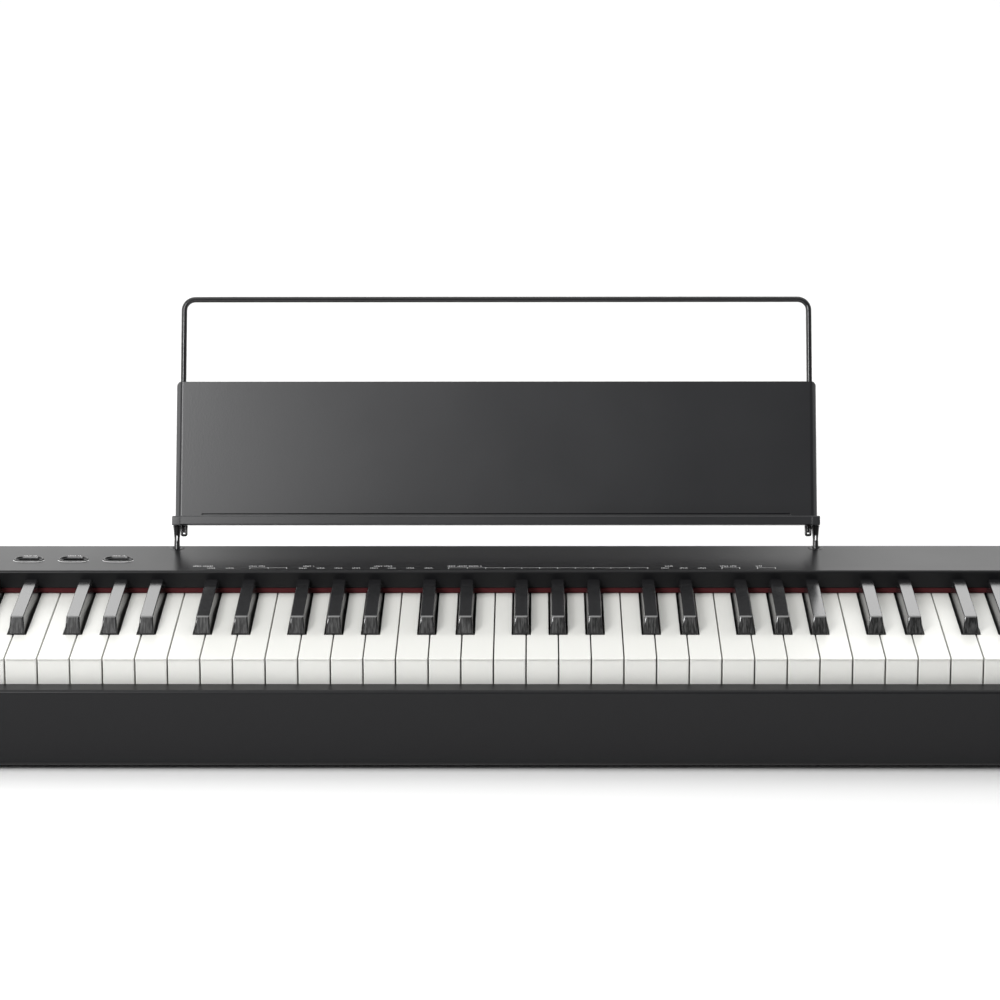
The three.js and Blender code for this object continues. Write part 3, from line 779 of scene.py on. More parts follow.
def carve(bm, cutters):
    """Take the cutters' shapes out of bm and return the result as a new bmesh."""
    blank = temporary_object("blank", bm)
    tools = temporary_object("tools", cutters)
    modifier = blank.modifiers.new("carve", "BOOLEAN")
    modifier.operation = "DIFFERENCE"
    modifier.solver = "EXACT"
    modifier.use_self = True
    modifier.object = tools
    graph = bpy.context.evaluated_depsgraph_get()
    carved = bmesh.new()
    carved.from_mesh(blank.evaluated_get(graph).to_mesh())
    for thing in (blank, tools):
        mesh = thing.data
        bpy.data.objects.remove(thing)
        bpy.data.meshes.remove(mesh)
    bmesh.ops.remove_doubles(carved, verts=carved.verts, dist=1e-7)
    return carved


def add_box(bm, low, high):
    """A box from its two corners, added to bm. Returns its vertices."""
    low, high = Vector(low), Vector(high)
    size = Matrix.Diagonal((*(high - low), 1))
    matrix = Matrix.Translation((low + high) / 2) @ size
    return bmesh.ops.create_cube(bm, size=1, matrix=matrix)["verts"]


def add_post(bm, centre, radius, height, sides=24, top_radius=None):
    """A round post standing on centre, added to bm. Returns its vertices."""
    matrix = Matrix.Translation(Vector(centre) + Vector((0, 0, height / 2)))
    end = radius if top_radius is None else top_radius
    return bmesh.ops.create_cone(
        bm, cap_ends=True, segments=sides, radius1=radius, radius2=end, depth=height, matrix=matrix
    )["verts"]


def add_stadium(bm, centre, length, width, height, segments=8):
    """A round-ended block with its long side along X. Returns its vertices."""
    old = set(bm.verts)
    x, y, z = centre
    corners = [(x - length / 2, y - width / 2, z), (x + length / 2, y - width / 2, z)]
    corners += [(x + length / 2, y + width / 2, z), (x - length / 2, y + width / 2, z)]
    face = outline_face(bm, corners)
    round_corners(bm, face.verts, width / 2 * 0.999, segments)
    faces = [f for f in bm.faces if all(v not in old for v in f.verts)]
    draw_out(bm, faces, (0, 0, height))
    return [v for v in bm.verts if v not in old]


# %% [markdown]
# ## The case
#
# Both halves of the case are long mouldings with one cross-section, so each is drawn as a side
# view, its corners rounded by vertex bevels of their own radius, and extruded along the keyboard.
# The front of the lower half is the key slip: it rises in front of the keys and turns over with a
# soft edge. The upper half is fallboard, cover and back in one piece.

# %% Draw a moulding along X
WALL = 3 * MM
CASE_SPLIT = upper_low.z
LIP_OF_FALLBOARD = KEY_TOP + 4.7 * MM


def moulding(corners, left, right):
    """corners are (y, z, radius). The outline is rounded and extruded from left to right."""
    bm = bmesh.new()
    face = outline_face(bm, [(left, y, z) for y, z, radius in corners])
    for vert, (y, z, radius) in zip(list(face.verts), corners):
        if radius:
            round_corners(bm, [vert], radius, 8)
    draw_out(bm, bm.faces[:], (right - left, 0, 0))
    bmesh.ops.recalc_face_normals(bm, faces=bm.faces)
    return bm


# %% Lower case with its sound slots
SLIP_REAR = KEY_FRONT - 0.8 * MM
SPEAKER_X = 450 * MM
SPEAKER_Y = KEY_FRONT + 95 * MM


def lower_outline():
    base, inside = FLOOR_OF_CASE, FLOOR_OF_CASE + WALL
    return [
        (CASE_FRONT, base, 5 * MM),
        (CASE_FRONT, SLIP_TOP, 2.6 * MM),
        (SLIP_REAR, SLIP_TOP, 0.6 * MM),
        (SLIP_REAR, SLIP_TOP - 10 * MM, 0),
        (SLIP_REAR - WALL, SLIP_TOP - 10 * MM, 0),
        (SLIP_REAR - WALL, SLIP_TOP - WALL, 0),
        (CASE_FRONT + WALL, SLIP_TOP - WALL, 3 * MM),
        (CASE_FRONT + WALL, inside, 0),
        (CASE_BACK - WALL, inside, 0),
        (CASE_BACK - WALL, CASE_SPLIT, 0),
        (CASE_BACK, CASE_SPLIT, 0.4 * MM),
        (CASE_BACK, base, 5 * MM),
    ]


def lower_case():
    shell = moulding(lower_outline(), KEYS_LEFT, -KEYS_LEFT)
    cutters = bmesh.new()
    through = (FLOOR_OF_CASE - MM, FLOOR_OF_CASE + WALL + MM)
    for centre in (-SPEAKER_X, SPEAKER_X):
        for i in range(-5, 6):
            half = (25 - abs(i) * 1.5) * MM
            x = centre + i * 9 * MM
            low = (x - 1.5 * MM, SPEAKER_Y - half, through[0])
            add_box(cutters, low, (x + 1.5 * MM, SPEAKER_Y + half, through[1]))
    jack_low, jack_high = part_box("jack_panel")
    edge = Vector((0.3 * MM, 0, 0.3 * MM))
    low = Vector((jack_low.x, CASE_BACK - WALL - MM, jack_low.z)) - edge
    add_box(cutters, low, Vector((jack_high.x, CASE_BACK + MM, jack_high.z)) + edge)
    bm = carve(shell, cutters)
    return finish_piece("lower_case_shell", bm, CHARCOAL, "case", ["lower_case"])


lower_case()

# %% Upper case with the button holes
BUTTONS = ["power_button"] + [f"voice_button_{i}" for i in range(1, 5)]
HOLE_PLAY = 0.4 * MM
REST_AXIS = Vector(next(j["axis"] for j in frame["joints"] if j["name"] == "rest_lift_out"))
REST_FOOT = Vector((0, CASE_BACK - 12 * MM, CASE_TOP))
LEG_X = (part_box("rest_leg_right")[0].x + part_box("rest_leg_right")[1].x) / 2
REST_LEAN = Vector((0, 0, 1)).rotation_difference(REST_AXIS).to_matrix().to_4x4()
REST_PLACE = Matrix.Translation(REST_FOOT) @ REST_LEAN
SLIDER_SLOT = (46 * MM, 3.2 * MM)
LEG_HOLE = 4.6 * MM


def upper_outline():
    return [
        (FALLBOARD, LIP_OF_FALLBOARD, 0.5 * MM),
        (FALLBOARD, CASE_TOP, 2 * MM),
        (CASE_BACK, CASE_TOP, 8 * MM),
        (CASE_BACK, CASE_SPLIT, 0.4 * MM),
        (CASE_BACK - WALL, CASE_SPLIT, 0),
        (CASE_BACK - WALL, CASE_TOP - WALL, 5 * MM),
        (FALLBOARD + WALL, CASE_TOP - WALL, 0),
        (FALLBOARD + WALL, LIP_OF_FALLBOARD, 0),
    ]


def button_centre(node):
    low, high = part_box(node)
    return (low + high) / 2, high - low


def upper_case():
    shell = moulding(upper_outline(), KEYS_LEFT, -KEYS_LEFT)
    cutters = bmesh.new()
    for node in BUTTONS:
        centre, size = button_centre(node)
        spot = (centre.x, centre.y, CASE_TOP - WALL - MM)
        add_stadium(cutters, spot, size.x + 2 * HOLE_PLAY, size.y + 2 * HOLE_PLAY, WALL + 2 * MM)
    centre, size = button_centre("volume_slider")
    spot = (centre.x, centre.y, CASE_TOP - WALL - MM)
    add_stadium(cutters, spot, *SLIDER_SLOT, WALL + 2 * MM)
    for side in (-1, 1):
        verts = add_post(cutters, (side * LEG_X, 0, -20 * MM), LEG_HOLE, 32 * MM)
        bmesh.ops.transform(cutters, matrix=REST_PLACE, verts=verts)
    bm = carve(shell, cutters)
    return finish_piece("upper_case_shell", bm, CHARCOAL, "case", ["upper_case"])


upper_case()

# %% [markdown]
# ## End blocks
#
# The ends of the case are closed by two blocks that rise a little above the keys. Each is a side
# view with a big soft nose, extruded by the block's width, and its outer rim is rounded more than
# its inner one, because hands carry the piano by these edges.

# %% Model the end blocks


def end_block(node, side):
    low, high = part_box(node)
    corners = [
        (low.y, low.z, 5 * MM),
        (low.y, KEY_TOP + 10 * MM, 17 * MM),
        (FALLBOARD, high.z, 0),
        (high.y, high.z, 8 * MM),
        (high.y, low.z, 5 * MM),
    ]
    bm = moulding(corners, low.x, high.x)
    outer_x, inner_x = (high.x, low.x) if side > 0 else (low.x, high.x)
    for rim_x, radius, segments in ((outer_x, 2.5 * MM, 5), (inner_x, 0.5 * MM, 3)):
        sharp = sharp_edges(bm, radians(60))
        rim = [e for e in sharp if all(abs(v.co.x - rim_x) < 1e-6 for v in e.verts)]
        round_edges(bm, rim, radius, segments)
    return finish_piece(node + "_shell", bm, CHARCOAL, "case", [node])


end_block("left_cheek", -1)
end_block("right_cheek", 1)

# %% [markdown]
# ## Felt
#
# A strip of red felt closes the gap between the keys and the fallboard, so that no dust falls in
# and the keys return without a knock. It is a soft strip, so its edge is rounded and made to
# waver a little by displacing it with a sine along its length.

# %% Felt strip


def felt_strip():
    low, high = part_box("felt_strip")
    bm = bmesh.new()
    add_box(bm, low, high)
    long_edges = [e for e in bm.edges if abs(e.verts[0].co.x - e.verts[1].co.x) > MM]
    round_edges(bm, long_edges, 0.6 * MM, 3)
    across = [e for e in bm.edges if abs(e.verts[0].co.x - e.verts[1].co.x) > MM]
    bmesh.ops.subdivide_edges(bm, edges=across, cuts=240, use_grid_fill=True)
    for vert in bm.verts:
        vert.co.z += 0.12 * MM * sin(vert.co.x * 190) * sin(vert.co.x * 47 + 1)
        vert.co.y += 0.08 * MM * (1 + sin(vert.co.x * 260 + 2))
    return finish_piece("felt_strip_soft", bm, RED_FELT, "case", ["felt_strip"])


felt_strip()

# %% [markdown]
# ## Buttons and the volume slider
#
# Each button is a long oval that sits in its hole, with its top dished a little so that a finger
# finds it. A dished top comes from insetting the top face and lowering the middle. A thin pale
# ring at the hole's edge is a painted highlight for the light a chamfer catches there.

# %% Buttons


def dished_button(node):
    centre, size = button_centre(node)
    low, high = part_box(node)
    bm = bmesh.new()
    add_stadium(bm, (centre.x, centre.y, low.z), size.x, size.y, size.z, 12)
    bmesh.ops.recalc_face_normals(bm, faces=bm.faces)
    rim = [e for e in sharp_edges(bm, radians(60)) if all(v.co.z > high.z - 1e-6 for v in e.verts)]
    round_edges(bm, rim, 0.5 * MM, 3)
    top = [f for f in bm.faces if f.normal.z > 0.99 and f.calc_center_median().z > high.z - 1e-6]
    for inset, drop in ((0.5 * MM, 0.0), (0.6 * MM, 1.1 * MM), (1.6 * MM, 0.25 * MM)):
        bmesh.ops.inset_region(bm, faces=top, thickness=inset, depth=0)
        verts = {v for f in top for v in f.verts}
        bmesh.ops.translate(bm, verts=list(verts), vec=(0, 0, -drop))
    return finish_piece(node + "_cap", bm, BLACK_BUTTON, node, [node])


def hole_ring(node):
    centre, size = button_centre(node)
    bm = bmesh.new()
    start = (centre.x, centre.y, CASE_TOP - 0.7 * MM)
    add_stadium(bm, start, size.x + 2.6 * MM, size.y + 2.6 * MM, 1.1 * MM, 12)
    bmesh.ops.recalc_face_normals(bm, faces=bm.faces)
    ends = [f for f in bm.faces if abs(f.normal.z) > 0.99]
    bmesh.ops.delete(bm, geom=ends, context="FACES_ONLY")
    bmesh.ops.solidify(bm, geom=bm.faces[:], thickness=0.75 * MM)
    bmesh.ops.recalc_face_normals(bm, faces=bm.faces)
    round_edges(bm, sharp_edges(bm, radians(60)), 0.18 * MM, 2)
    # Sink the ring towards the back, so its painted highlight shows mostly along the front edge.
    for vert in bm.verts:
        vert.co.z -= 0.55 * MM * (1 + (vert.co.y - centre.y) / (size.y / 2))
    return finish_piece(node + "_ring", bm, PAINTED_HOLE_HIGHLIGHT, "case")


for node in BUTTONS:
    dished_button(node)
    hole_ring(node)

# %% Volume slider


def slider_cap():
    low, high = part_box("volume_slider")
    centre = (low + high) / 2
    bm = bmesh.new()
    cap_low = (low.x, low.y, CASE_TOP + 0.3 * MM)
    add_box(bm, cap_low, high)
    round_edges(bm, bm.edges[:], 0.7 * MM, 3)
    groove = bmesh.new()
    for i in (-2, -1, 0, 1, 2):
        x = centre.x + i * 1.4 * MM
        groove_low = (x - 0.3 * MM, low.y - MM, high.z - 0.5 * MM)
        add_box(groove, groove_low, (x + 0.3 * MM, high.y + MM, high.z + MM))
    bm = carve(bm, groove)
    half = 1.2 * MM
    stem_low = (centre.x - half, centre.y - half, low.z)
    add_box(bm, stem_low, (centre.x + half, centre.y + half, CASE_TOP + 0.5 * MM))
    node = "volume_slider"
    return finish_piece("volume_slider_cap", bm, BLACK_BUTTON, node, [node])


slider_cap()

# %% [markdown]
# ## Printed marks
#
# Along the front of the cover, a maker prints what each key does while a function button is held.
# The words are left out here. What stands in for them is generic: rows of small strokes the size
# of letters, ticks above the keys, and thin lines that join a group of ticks. They are laid out by
# key, so each mark sits above the key it belongs to. The ink is 0.04 mm thick.

# %% Where the marks sit
INK = 0.04 * MM
LABEL_ROW = FALLBOARD + 6.3 * MM
TITLE_ROW = FALLBOARD + 10.9 * MM
SHARPS = {1: 0, 3: 1, 6: 3, 8: 4, 10: 5}
WHITE_STEPS = [0, 2, 4, 5, 7, 9, 11]


def semitone_x(octave, semitone):
    """The middle of a key's rear part, counted in semitones from C."""
    octave, semitone = octave + semitone // 12, semitone % 12
    if semitone in SHARPS:
        return octave_left(octave) + BLACK_AFTER[SHARPS[semitone]]
    left, right, tail_left, tail_right = tail_sides(octave, WHITE_STEPS.index(semitone))
    return (tail_left + tail_right) / 2


# %% Draw the marks


def ink_box(bm, x0, x1, y0, y1):
    add_box(bm, (x0, y0, CASE_TOP), (x1, y1, CASE_TOP + INK))


def strokes(bm, x0, x1, y, height):
    """A row of small strokes that reads as a word from a distance."""
    step = 1.25 * MM
    count = int((x1 - x0) / step)
    for i in range(count):
        if i % 7 == 5:
            continue
        x = x0 + i * step
        top = y + height * (1 if i % 3 else 0.8)
        ink_box(bm, x, x + 0.45 * MM, y, top)
        bar = y + height * 0.4 * (i % 2)
        ink_box(bm, x, x + 0.85 * MM, bar, bar + height * 0.22)


def label(bm, octave, semitone, width=8 * MM):
    x = semitone_x(octave, semitone)
    strokes(bm, x - width / 2, x + width / 2, LABEL_ROW, 1.8 * MM)


def bracket(bm, octave, first, last):
    """Ticks above the keys first to last, joined by a line."""
    places = [semitone_x(octave, semitone) for semitone in range(first, last + 1)]
    line = LABEL_ROW + 1.5 * MM
    ink_box(bm, places[0], places[-1], line, line + 0.16 * MM)
    for x in places:
        ink_box(bm, x - 0.35 * MM, x + 0.35 * MM, LABEL_ROW, line)


def printed_marks():
    bm = bmesh.new()
    for octave, semitone in [(3, s) for s in (1, 2, 6, 7, 8, 9, 10, 11)] + [(4, 0), (4, 1)]:
        label(bm, octave, semitone)
    for semitone in (2, 3, 4):
        label(bm, 5, semitone)
    bracket(bm, 3, 3, 5)
    bracket(bm, 4, 2, 13)
    bracket(bm, 5, 5, 6)
    bracket(bm, 5, 7, 8)
    titles = [(3, 0, 16), (3, 3, 13), (3, 6, 9), (3, 10, 14), (4, 2, 27)]
    titles += [(5, 2, 7), (5, 5, 13), (5, 7, 6)]
    for octave, semitone, width in titles:
        x = semitone_x(octave, semitone)
        strokes(bm, x - MM, x + (width - 1) * MM, TITLE_ROW, 2.1 * MM)
    for node in BUTTONS:
        centre, size = button_centre(node)
        row = centre.y + size.y / 2 + 2.2 * MM
        strokes(bm, centre.x - 5 * MM, centre.x + 5 * MM, row, 1.4 * MM)
    return finish_piece("printed_marks", bm, PRINT_WHITE, "case", weighted=False)


printed_marks()

# %% [markdown]
# ## The music rest
#
# The rest is a shallow steel tray on a bent rod. It is drawn upright in its own frame, with X
# across, -Y towards the player and Z up the slope, and then one matrix leans it back by the angle
# of the joint it slides on. That keeps every radius easy to state.

# %% Lean a rest piece into place


def rest_piece(name, bm, material, covers=(), weighted=True):
    bmesh.ops.transform(bm, matrix=REST_PLACE, verts=bm.verts)
    return finish_piece(name, bm, material, "music_rest", covers, weighted)


# %% Bent rod
ROD_RADIUS = 2.2 * MM
ROD_X = 241.7 * MM
ROD_TOP = 194 * MM
ROD_BEND = 8.5 * MM


def rod_half(side):
    step = LEG_X - ROD_X
    points = [(LEG_X, 9.8 * MM), (LEG_X, 13 * MM)]
    for i in range(1, 8):
        share = (1 - cos(pi * i / 8)) / 2
        points.append((LEG_X - step * share, (13 + 7 * i / 8) * MM))
    points += [(ROD_X, 20 * MM), (ROD_X, 110 * MM)]
    for i in range(13):
        angle = pi / 2 * i / 12
        points.append((ROD_X - ROD_BEND * (1 - cos(angle)), ROD_TOP - ROD_BEND * (1 - sin(angle))))
    return [Vector((side * x, 0, z)) for x, z in points]


def sweep_circle(bm, points, radius, sides=16):
    """Carry a circle along points that lie in one plane, and close both ends."""
    across = Vector((0, 1, 0))
    rings = []
    for i, point in enumerate(points):
        ahead = (points[min(i + 1, len(points) - 1)] - points[max(i - 1, 0)]).normalized()
        turn = Matrix((across, ahead.cross(across), ahead)).transposed().to_4x4()
        place = Matrix.Translation(point) @ turn
        made = bmesh.ops.create_circle(bm, segments=sides, radius=radius, matrix=place)["verts"]
        rings.append(list({e for v in made for e in v.link_edges}))
    for first, second in zip(rings, rings[1:]):
        bmesh.ops.bridge_loops(bm, edges=first + second)
    bmesh.ops.holes_fill(bm, edges=rings[0] + rings[-1], sides=sides)


def bent_rod():
    bm = bmesh.new()
    path = rod_half(-1) + rod_half(1)[::-1]
    sweep_circle(bm, path, ROD_RADIUS)
    return rest_piece("rest_rod", bm, ROD_BLACK, ["rest_frame"])


bent_rod()

# %% Tray panel
PANEL_X = 246.8 * MM
PANEL_FRONT = -4 * MM
PANEL_SKIN = 1.2 * MM
PANEL_LOW, PANEL_HIGH = 20 * MM, 129 * MM
FOLD = 3.8 * MM
GROOVE_X = 226 * MM
CORNER_CUT = 3 * MM


def panel_outline():
    """The section of the tray from above: flat front, slanted folds, edges running back."""
    rear = PANEL_FRONT + FOLD + 3.2 * MM
    inset = PANEL_SKIN * tan(pi / 8)
    half = [
        (PANEL_X - FOLD, PANEL_FRONT, 1.5 * MM),
        (PANEL_X, PANEL_FRONT + FOLD, 1.6 * MM),
        (PANEL_X, rear, 0),
        (PANEL_X - PANEL_SKIN, rear, 0),
        (PANEL_X - PANEL_SKIN, PANEL_FRONT + FOLD + inset, 0.4 * MM),
        (PANEL_X - FOLD - inset, PANEL_FRONT + PANEL_SKIN, 0.2 * MM),
    ]
    return half + [(-x, y, radius) for x, y, radius in reversed(half)]


def tray_panel():
    bm = bmesh.new()
    corners = panel_outline()
    face = outline_face(bm, [(x, y, PANEL_LOW) for x, y, radius in corners])
    for vert, (x, y, radius) in zip(list(face.verts), corners):
        if radius:
            round_corners(bm, [vert], radius, 6)
    draw_out(bm, bm.faces[:], (0, 0, PANEL_HIGH - PANEL_LOW))
    bmesh.ops.recalc_face_normals(bm, faces=bm.faces)
    cutters = bmesh.new()
    groove_low = (-GROOVE_X, PANEL_FRONT - MM, 24.9 * MM)
    add_box(cutters, groove_low, (GROOVE_X, PANEL_FRONT + 1.0 * MM, 26.1 * MM))
    above, past = PANEL_HIGH + MM, PANEL_X + MM
    for side in (-1, 1):
        wedge = [(PANEL_X - CORNER_CUT, above), (past, above), (past, PANEL_HIGH - CORNER_CUT)]
        face = outline_face(cutters, [(side * x, PANEL_FRONT - MM, z) for x, z in wedge])
        draw_out(cutters, [face], (0, FOLD + 6 * MM, 0))
    bm = carve(bm, cutters)
    round_edges(bm, sharp_edges(bm, radians(40)), 0.3 * MM, 2)
    return rest_piece("rest_tray", bm, GREY_REST, ["rest_panel"])


tray_panel()

# %% [markdown]
# The ledge holds the music up and its lip keeps it from sliding off. Over the middle the lip
# stands a little higher, with slanted ends. It is one cross-section drawn along X, and the extra
# height is a second strip with slanted ends that is joined to it.

# %% Ledge and lip
LEDGE_X = 247.2 * MM
LIP_FRONT = -21 * MM
LIP_SKIN = 2.2 * MM
LIP_LOW, LIP_HIGH, LIP_MIDDLE = 15.3 * MM, 22.2 * MM, 22.9 * MM
SHELF_TOP = 19 * MM
RAISED_X = 226 * MM


def ledge():
    rear = -4.2 * MM
    inside = LIP_FRONT + LIP_SKIN
    corners = [
        (rear, SHELF_TOP - LIP_SKIN, 0),
        (rear, SHELF_TOP, 0),
        (inside, SHELF_TOP, 0.4 * MM),
        (inside, LIP_HIGH, 0.5 * MM),
        (LIP_FRONT, LIP_HIGH, 0.8 * MM),
        (LIP_FRONT, LIP_LOW, 0.8 * MM),
        (inside, LIP_LOW, 0.5 * MM),
        (inside, SHELF_TOP - LIP_SKIN, 0.4 * MM),
    ]
    bm = moulding(corners, -LEDGE_X, LEDGE_X)
    ends = [e for e in sharp_edges(bm, radians(60)) if abs(abs(e.verts[0].co.x) - LEDGE_X) < 1e-6]
    round_edges(bm, ends, 0.6 * MM, 3)
    return rest_piece("rest_shelf", bm, GREY_REST, ["rest_ledge"])


def raised_lip():
    bm = bmesh.new()
    slant = 0.6 * MM
    low, high = LIP_HIGH - 0.6 * MM, LIP_MIDDLE
    corners = [(-RAISED_X, low), (RAISED_X, low)]
    corners += [(RAISED_X - slant, high), (-RAISED_X + slant, high)]
    front = LIP_FRONT + 0.35 * MM
    outline_face(bm, [(x, front, z) for x, z in corners])
    draw_out(bm, bm.faces[:], (0, LIP_SKIN - 0.7 * MM, 0))
    bmesh.ops.recalc_face_normals(bm, faces=bm.faces)
    top = [e for e in sharp_edges(bm, radians(20)) if max(v.co.z for v in e.verts) > high - 1e-6]
    round_edges(bm, top, 0.4 * MM, 2)
    return rest_piece("rest_lip_strip", bm, GREY_REST)


def end_cap(side):
    """A small moulded cap that closes the folded edge at each end of the ledge."""
    bm = bmesh.new()
    x = sorted((side * (LEDGE_X - 6.2 * MM), side * (LEDGE_X + 0.2 * MM)))
    low = (x[0], LIP_FRONT - 0.25 * MM, LIP_LOW - 0.2 * MM)
    add_box(bm, low, (x[1], LIP_FRONT + LIP_SKIN + 0.25 * MM, LIP_HIGH - 0.5 * MM))
    round_edges(bm, bm.edges[:], 0.45 * MM, 2)
    end = "left" if side < 0 else "right"
    return rest_piece(f"rest_cap_{end}", bm, GREY_REST)


ledge()
raised_lip()
end_cap(-1)
end_cap(1)

# %% [markdown]
# Under the ledge, each side has a small bent-wire hook, and a tapered leg that grips the rod and
# stands in the case. The leg is a profile that is spun round its own axis. A rubber grommet lines
# the hole where it enters the cover.

# %% Hooks, legs and grommets
HOOK_X = 239 * MM
HOOK_Y = -9 * MM
HOOK_LOW, HOOK_HIGH = 8.7 * MM, 16.4 * MM
HOOK_HALF, HOOK_BEND, HOOK_WIRE = 1.7 * MM, 0.9 * MM, 0.95 * MM
ARM_HALF, ARM_DEEP = 2.5 * MM, 0.9 * MM
SLIT_MIDDLE = 7.6 * MM
LEG_PROFILE = [(0, -12), (1.9, -12), (2.2, -11), (2.2, 3), (2.1, 6), (2.1, 7.5)]
LEG_PROFILE += [(2.5, 11), (2.9, 15), (3.3, 17.2), (0, 17.2)]
GROMMET_PROFILE = [(0, -16), (4.5, -16), (4.5, -2.4), (2.7, -2.4), (2.7, -12.3), (0, -12.3)]
RING_PROFILE = [(2.75, -0.5), (5.9, -0.5), (5.9, 0.02), (5.5, 0.2), (3.3, 0.2), (2.75, 0)]


def spun(profile, centre, sides=24, closed=False):
    """Spin (radius, height) points around a vertical axis at centre.

    An open profile has both ends on the axis. A closed one goes back to its first point.
    """
    bm = bmesh.new()
    verts = [bm.verts.new((radius, 0, height)) for radius, height in profile]
    following = verts[1:] + verts[:1] if closed else verts[1:]
    geometry = verts + [bm.edges.new(pair) for pair in zip(verts, following)]
    axis = {"cent": (0, 0, 0), "axis": (0, 0, 1)}
    bmesh.ops.spin(bm, geom=geometry, **axis, angle=2 * pi, steps=sides, use_merge=True)
    bmesh.ops.remove_doubles(bm, verts=bm.verts, dist=1e-6)
    bmesh.ops.translate(bm, verts=bm.verts, vec=centre)
    return bm


def in_mm(profile):
    return [(radius * MM, height * MM) for radius, height in profile]


def leg(side, node):
    bm = spun(in_mm(LEG_PROFILE), (side * LEG_X, 0, 0))
    slit = bmesh.new()
    add_stadium(slit, (0, 0, -6 * MM), 4 * MM, 0.9 * MM, 12 * MM, 6)
    upright = Matrix(((0, 1, 0), (0, 0, 1), (1, 0, 0))).to_4x4()
    bmesh.ops.transform(slit, matrix=upright, verts=slit.verts)
    bmesh.ops.translate(slit, verts=slit.verts, vec=(side * LEG_X, 0, SLIT_MIDDLE))
    return rest_piece(node + "_spun", carve(bm, slit), ROD_BLACK, [node])


def hook(side, node):
    """A bent wire: down beside the leg, along the bottom, and up again away from it."""
    bm = bmesh.new()
    low, high, bend = HOOK_LOW, HOOK_HIGH, HOOK_BEND
    near, far = side * (HOOK_X + HOOK_HALF), side * (HOOK_X - HOOK_HALF)
    path = [Vector((near, HOOK_Y, high)), Vector((near, HOOK_Y, low + bend))]
    for i in range(1, 6):
        angle = pi / 2 * i / 6
        drop = Vector((-side * bend * (1 - cos(angle)), 0, -bend * sin(angle)))
        path.append(Vector((near, HOOK_Y, low + bend)) + drop)
    path.append(Vector((near - side * bend, HOOK_Y, low)))
    path.append(Vector((far + side * bend, HOOK_Y, low)))
    for i in range(1, 6):
        angle = pi / 2 * i / 6
        rise = Vector((-side * bend * sin(angle), 0, bend * (1 - cos(angle))))
        path.append(Vector((far + side * bend, HOOK_Y, low)) + rise)
    path += [Vector((far, HOOK_Y, low + bend)), Vector((far, HOOK_Y, high))]
    sweep_circle(bm, path, HOOK_WIRE, 10)
    left, right = sorted((near, far + side * MM))
    slim = 0.6 * MM
    add_box(bm, (left, HOOK_Y - slim, low + 1.9 * MM), (right, HOOK_Y + slim, high))
    left, right = side * HOOK_X - ARM_HALF, side * HOOK_X + ARM_HALF
    add_box(bm, (left, -18 * MM, high - ARM_DEEP), (right, -4.4 * MM, high))
    return rest_piece(node + "_wire", bm, ROD_BLACK, [node])


def grommet(side, node):
    """The lining follows the leg's lean, and a level ring closes the hole around it."""
    bm = spun(in_mm(GROMMET_PROFILE), (side * LEG_X, 0, 0))
    bmesh.ops.transform(bm, matrix=REST_PLACE, verts=bm.verts)
    finish_piece(node + "_grommet", bm, BLACK_FITTING, "case", [node])
    ring = spun(in_mm(RING_PROFILE), (side * LEG_X, REST_FOOT.y, CASE_TOP), closed=True)
    finish_piece(node + "_ring", ring, CHARCOAL, "case")


for side, end in ((-1, "left"), (1, "right")):
    leg(side, f"rest_leg_{end}")
    hook(side, f"rest_clip_{end}")
    grommet(side, f"rest_socket_{end}")

# %% [markdown]
# Behind the tray, the rods are held by small folded saddles. They are not seen from the front,
# but a rest without them would fall off its rods.

# %% Rod saddles


SADDLE_OUTER, SADDLE_INNER, SADDLE_FOOT = 3.1 * MM, 2.2 * MM, -2.1 * MM
SADDLE_TALL = 9 * MM


def saddle_arch(x, radius):
    """Half a circle over the rod, between two feet on the tray's back."""
    arch = [(x + radius, SADDLE_FOOT)]
    for i in range(9):
        angle = pi * i / 8
        arch.append((x + radius * cos(angle), radius * sin(angle)))
    return arch + [(x - radius, SADDLE_FOOT)]


def saddle(side, height, number):
    bm = bmesh.new()
    x = side * ROD_X
    outline = saddle_arch(x, SADDLE_OUTER) + saddle_arch(x, SADDLE_INNER)[::-1]
    outline_face(bm, [(px, py, height) for px, py in outline])
    draw_out(bm, bm.faces[:], (0, 0, SADDLE_TALL))
    bmesh.ops.recalc_face_normals(bm, faces=bm.faces)
    return rest_piece(f"rod_saddle_{number}", bm, GREY_REST)


for number, (side, height) in enumerate(((-1, 50), (1, 50), (-1, 108), (1, 108)), start=1):
    saddle(side, height * MM, number)

# %% [markdown]
# ## Back and underside
#
# The back has a small plate with the power inlet, the pedal jack and a data socket. The underside
# has four rubber feet and the screws that hold the halves together. A screw is a countersunk disc
# with a cross cut into it.

# %% Rear sockets


def face_backwards(bm, centre):
    """Turn a piece made around the vertical axis so that its axis points back, at centre."""
    turn = Matrix.Translation(centre) @ Matrix.Rotation(-pi / 2, 4, "X")
    bmesh.ops.transform(bm, matrix=turn, verts=bm.verts)


def socket_ring(name, centre, inner, outer, material):
    """A ring around a rear socket, its axis along Y."""
    profile = [(inner, 0), (outer, 0), (outer, 0.9 * MM)]
    profile += [(outer - 0.5 * MM, 1.4 * MM), (inner, 1.4 * MM)]
    bm = spun(profile, (0, 0, 0), sides=32, closed=True)
    face_backwards(bm, centre)
    return finish_piece(name, bm, material, "case")


def socket_pin(name, centre, radius, length):
    bm = bmesh.new()
    add_post(bm, (0, 0, 0), radius, length, 16)
    face_backwards(bm, centre)
    round_edges(bm, sharp_edges(bm, radians(60)), 0.3 * MM, 2)
    return finish_piece(name, bm, SCREW_STEEL, "case")


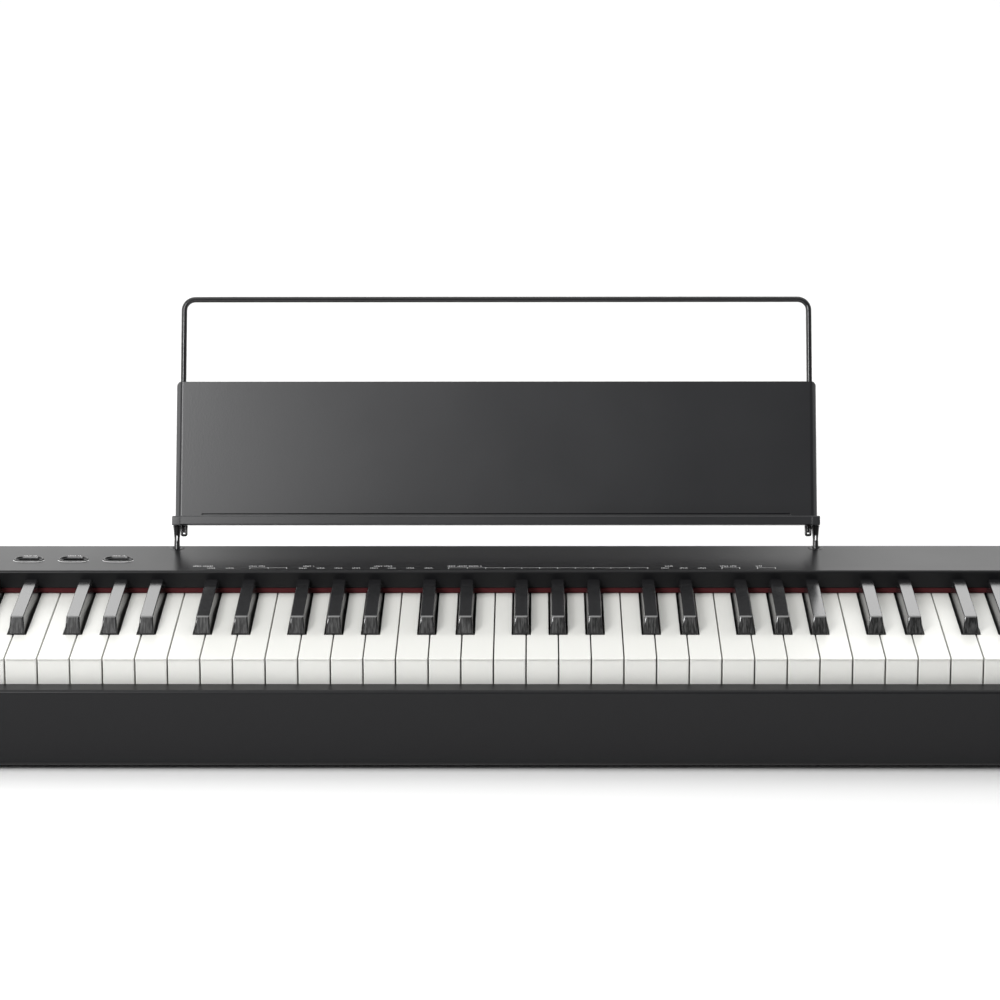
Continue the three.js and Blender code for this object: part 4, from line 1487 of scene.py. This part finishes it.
jack_low, jack_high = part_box("jack_panel")
SOCKET_Z = (jack_low.z + jack_high.z) / 2
POWER_X, PEDAL_X = jack_low.x + 14.7 * MM, jack_low.x + 39.7 * MM
RING_Y, PIN_Y = CASE_BACK - 0.2 * MM, CASE_BACK - 11 * MM
RING_INNER = 4.0 * MM
socket_ring("power_inlet_ring", (POWER_X, RING_Y, SOCKET_Z), RING_INNER, 5.6 * MM, BLACK_FITTING)
socket_ring("pedal_jack_nut", (PEDAL_X, RING_Y, SOCKET_Z), RING_INNER, 6.4 * MM, SCREW_STEEL)
socket_pin("power_inlet_pin", (POWER_X, PIN_Y, SOCKET_Z), 1.0 * MM, 8.5 * MM)
print("rear sockets at height", round(SOCKET_Z, 4))

# %% Screws and feet
SCREW_PLACES = [(x, y) for x in (-590, -380, -170, 40, 250, 460, 590) for y in (16, 188)]


def cross_screw(name, x, y):
    radius = 3.2 * MM
    bm = bmesh.new()
    base = FLOOR_OF_CASE - 0.9 * MM
    add_post(bm, (0, 0, 0), radius * 0.8, 1.1 * MM, 24, radius)
    bmesh.ops.recalc_face_normals(bm, faces=bm.faces)
    cross = bmesh.new()
    for length, width in ((3.6, 0.8), (0.8, 3.6)):
        size = Vector((length / 2 * MM, width / 2 * MM, 0.6 * MM))
        add_box(cross, -size, size)
    bm = carve(bm, cross)
    bmesh.ops.translate(bm, verts=bm.verts, vec=(x * MM, KEY_FRONT + y * MM, base))
    return finish_piece(name, bm, SCREW_STEEL, "case")


for number, (x, y) in enumerate(SCREW_PLACES, start=1):
    cross_screw(f"case_screw_{number}", x, y)


def rubber_foot(node):
    low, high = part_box(node)
    centre = (low + high) / 2
    radius, height = (high.x - low.x) / 2, high.z - low.z
    profile = [(0, 0.35 * MM), (radius * 0.45, 0.35 * MM), (radius * 0.5, 0), (radius * 0.86, 0)]
    profile += [(radius * 0.96, 0.5 * MM), (radius, 1.2 * MM), (radius, height), (0, height)]
    bm = spun(profile, (centre.x, centre.y, low.z), 40)
    return finish_piece(node + "_rubber", bm, FOOT_RUBBER, "case", [node])


for row in ("front", "rear"):
    for end in ("left", "right"):
        rubber_foot(f"foot_{row}_{end}")
print("modelled", len(SCREW_PLACES), "screws and four feet")

# %% [markdown]
# ## Nodes that keep their shape
#
# The boards, the chassis and the other parts inside the case need no finer shape than their CAD
# node has, so they only get a finish. It is looked up by the material slot in the record rather
# than node by node, so no node is forgotten.

# %% Clothe the CAD nodes that keep their shape
NODE_FINISH = {
    "charcoal_case": CHARCOAL, "white_key": WHITE_PLASTIC, "black_key": BLACK_GLOSS,
    "red_felt": RED_FELT, "grey_felt": GREY_FELT, "chassis_plastic": CHASSIS,
    "circuit_board": BOARD_GREEN, "contact_rubber": SILICONE, "foot_rubber": FOOT_RUBBER,
    "speaker_frame": SPEAKER_STEEL, "black_button": BLACK_BUTTON, "black_fitting": BLACK_FITTING,
    "black_rod": ROD_BLACK, "grey_rest": GREY_REST,
}
for entry in frame["record"]["subparts"]:
    node = frame["nodes"][entry["node"]]
    node.data.materials.clear()
    node.data.materials.append(NODE_FINISH[entry["material_slot"]])

# %% [markdown]
# ## Floor
#
# The piano stands on one wide matt white sheet, which gives it a soft shadow and no horizon. A
# curved backdrop would do the same, but the room behind is white already.

# %% Floor
FLOOR_REACH = 12

corners = [(-FLOOR_REACH, -FLOOR_REACH, 0), (FLOOR_REACH, -FLOOR_REACH, 0)]
corners += [(FLOOR_REACH, FLOOR_REACH, 0), (-FLOOR_REACH, FLOOR_REACH, 0)]
stage_sheet("floor", corners, plain_material("floor_white", 0.92, 0.9))
print("the floor reaches", FLOOR_REACH, "m each way")
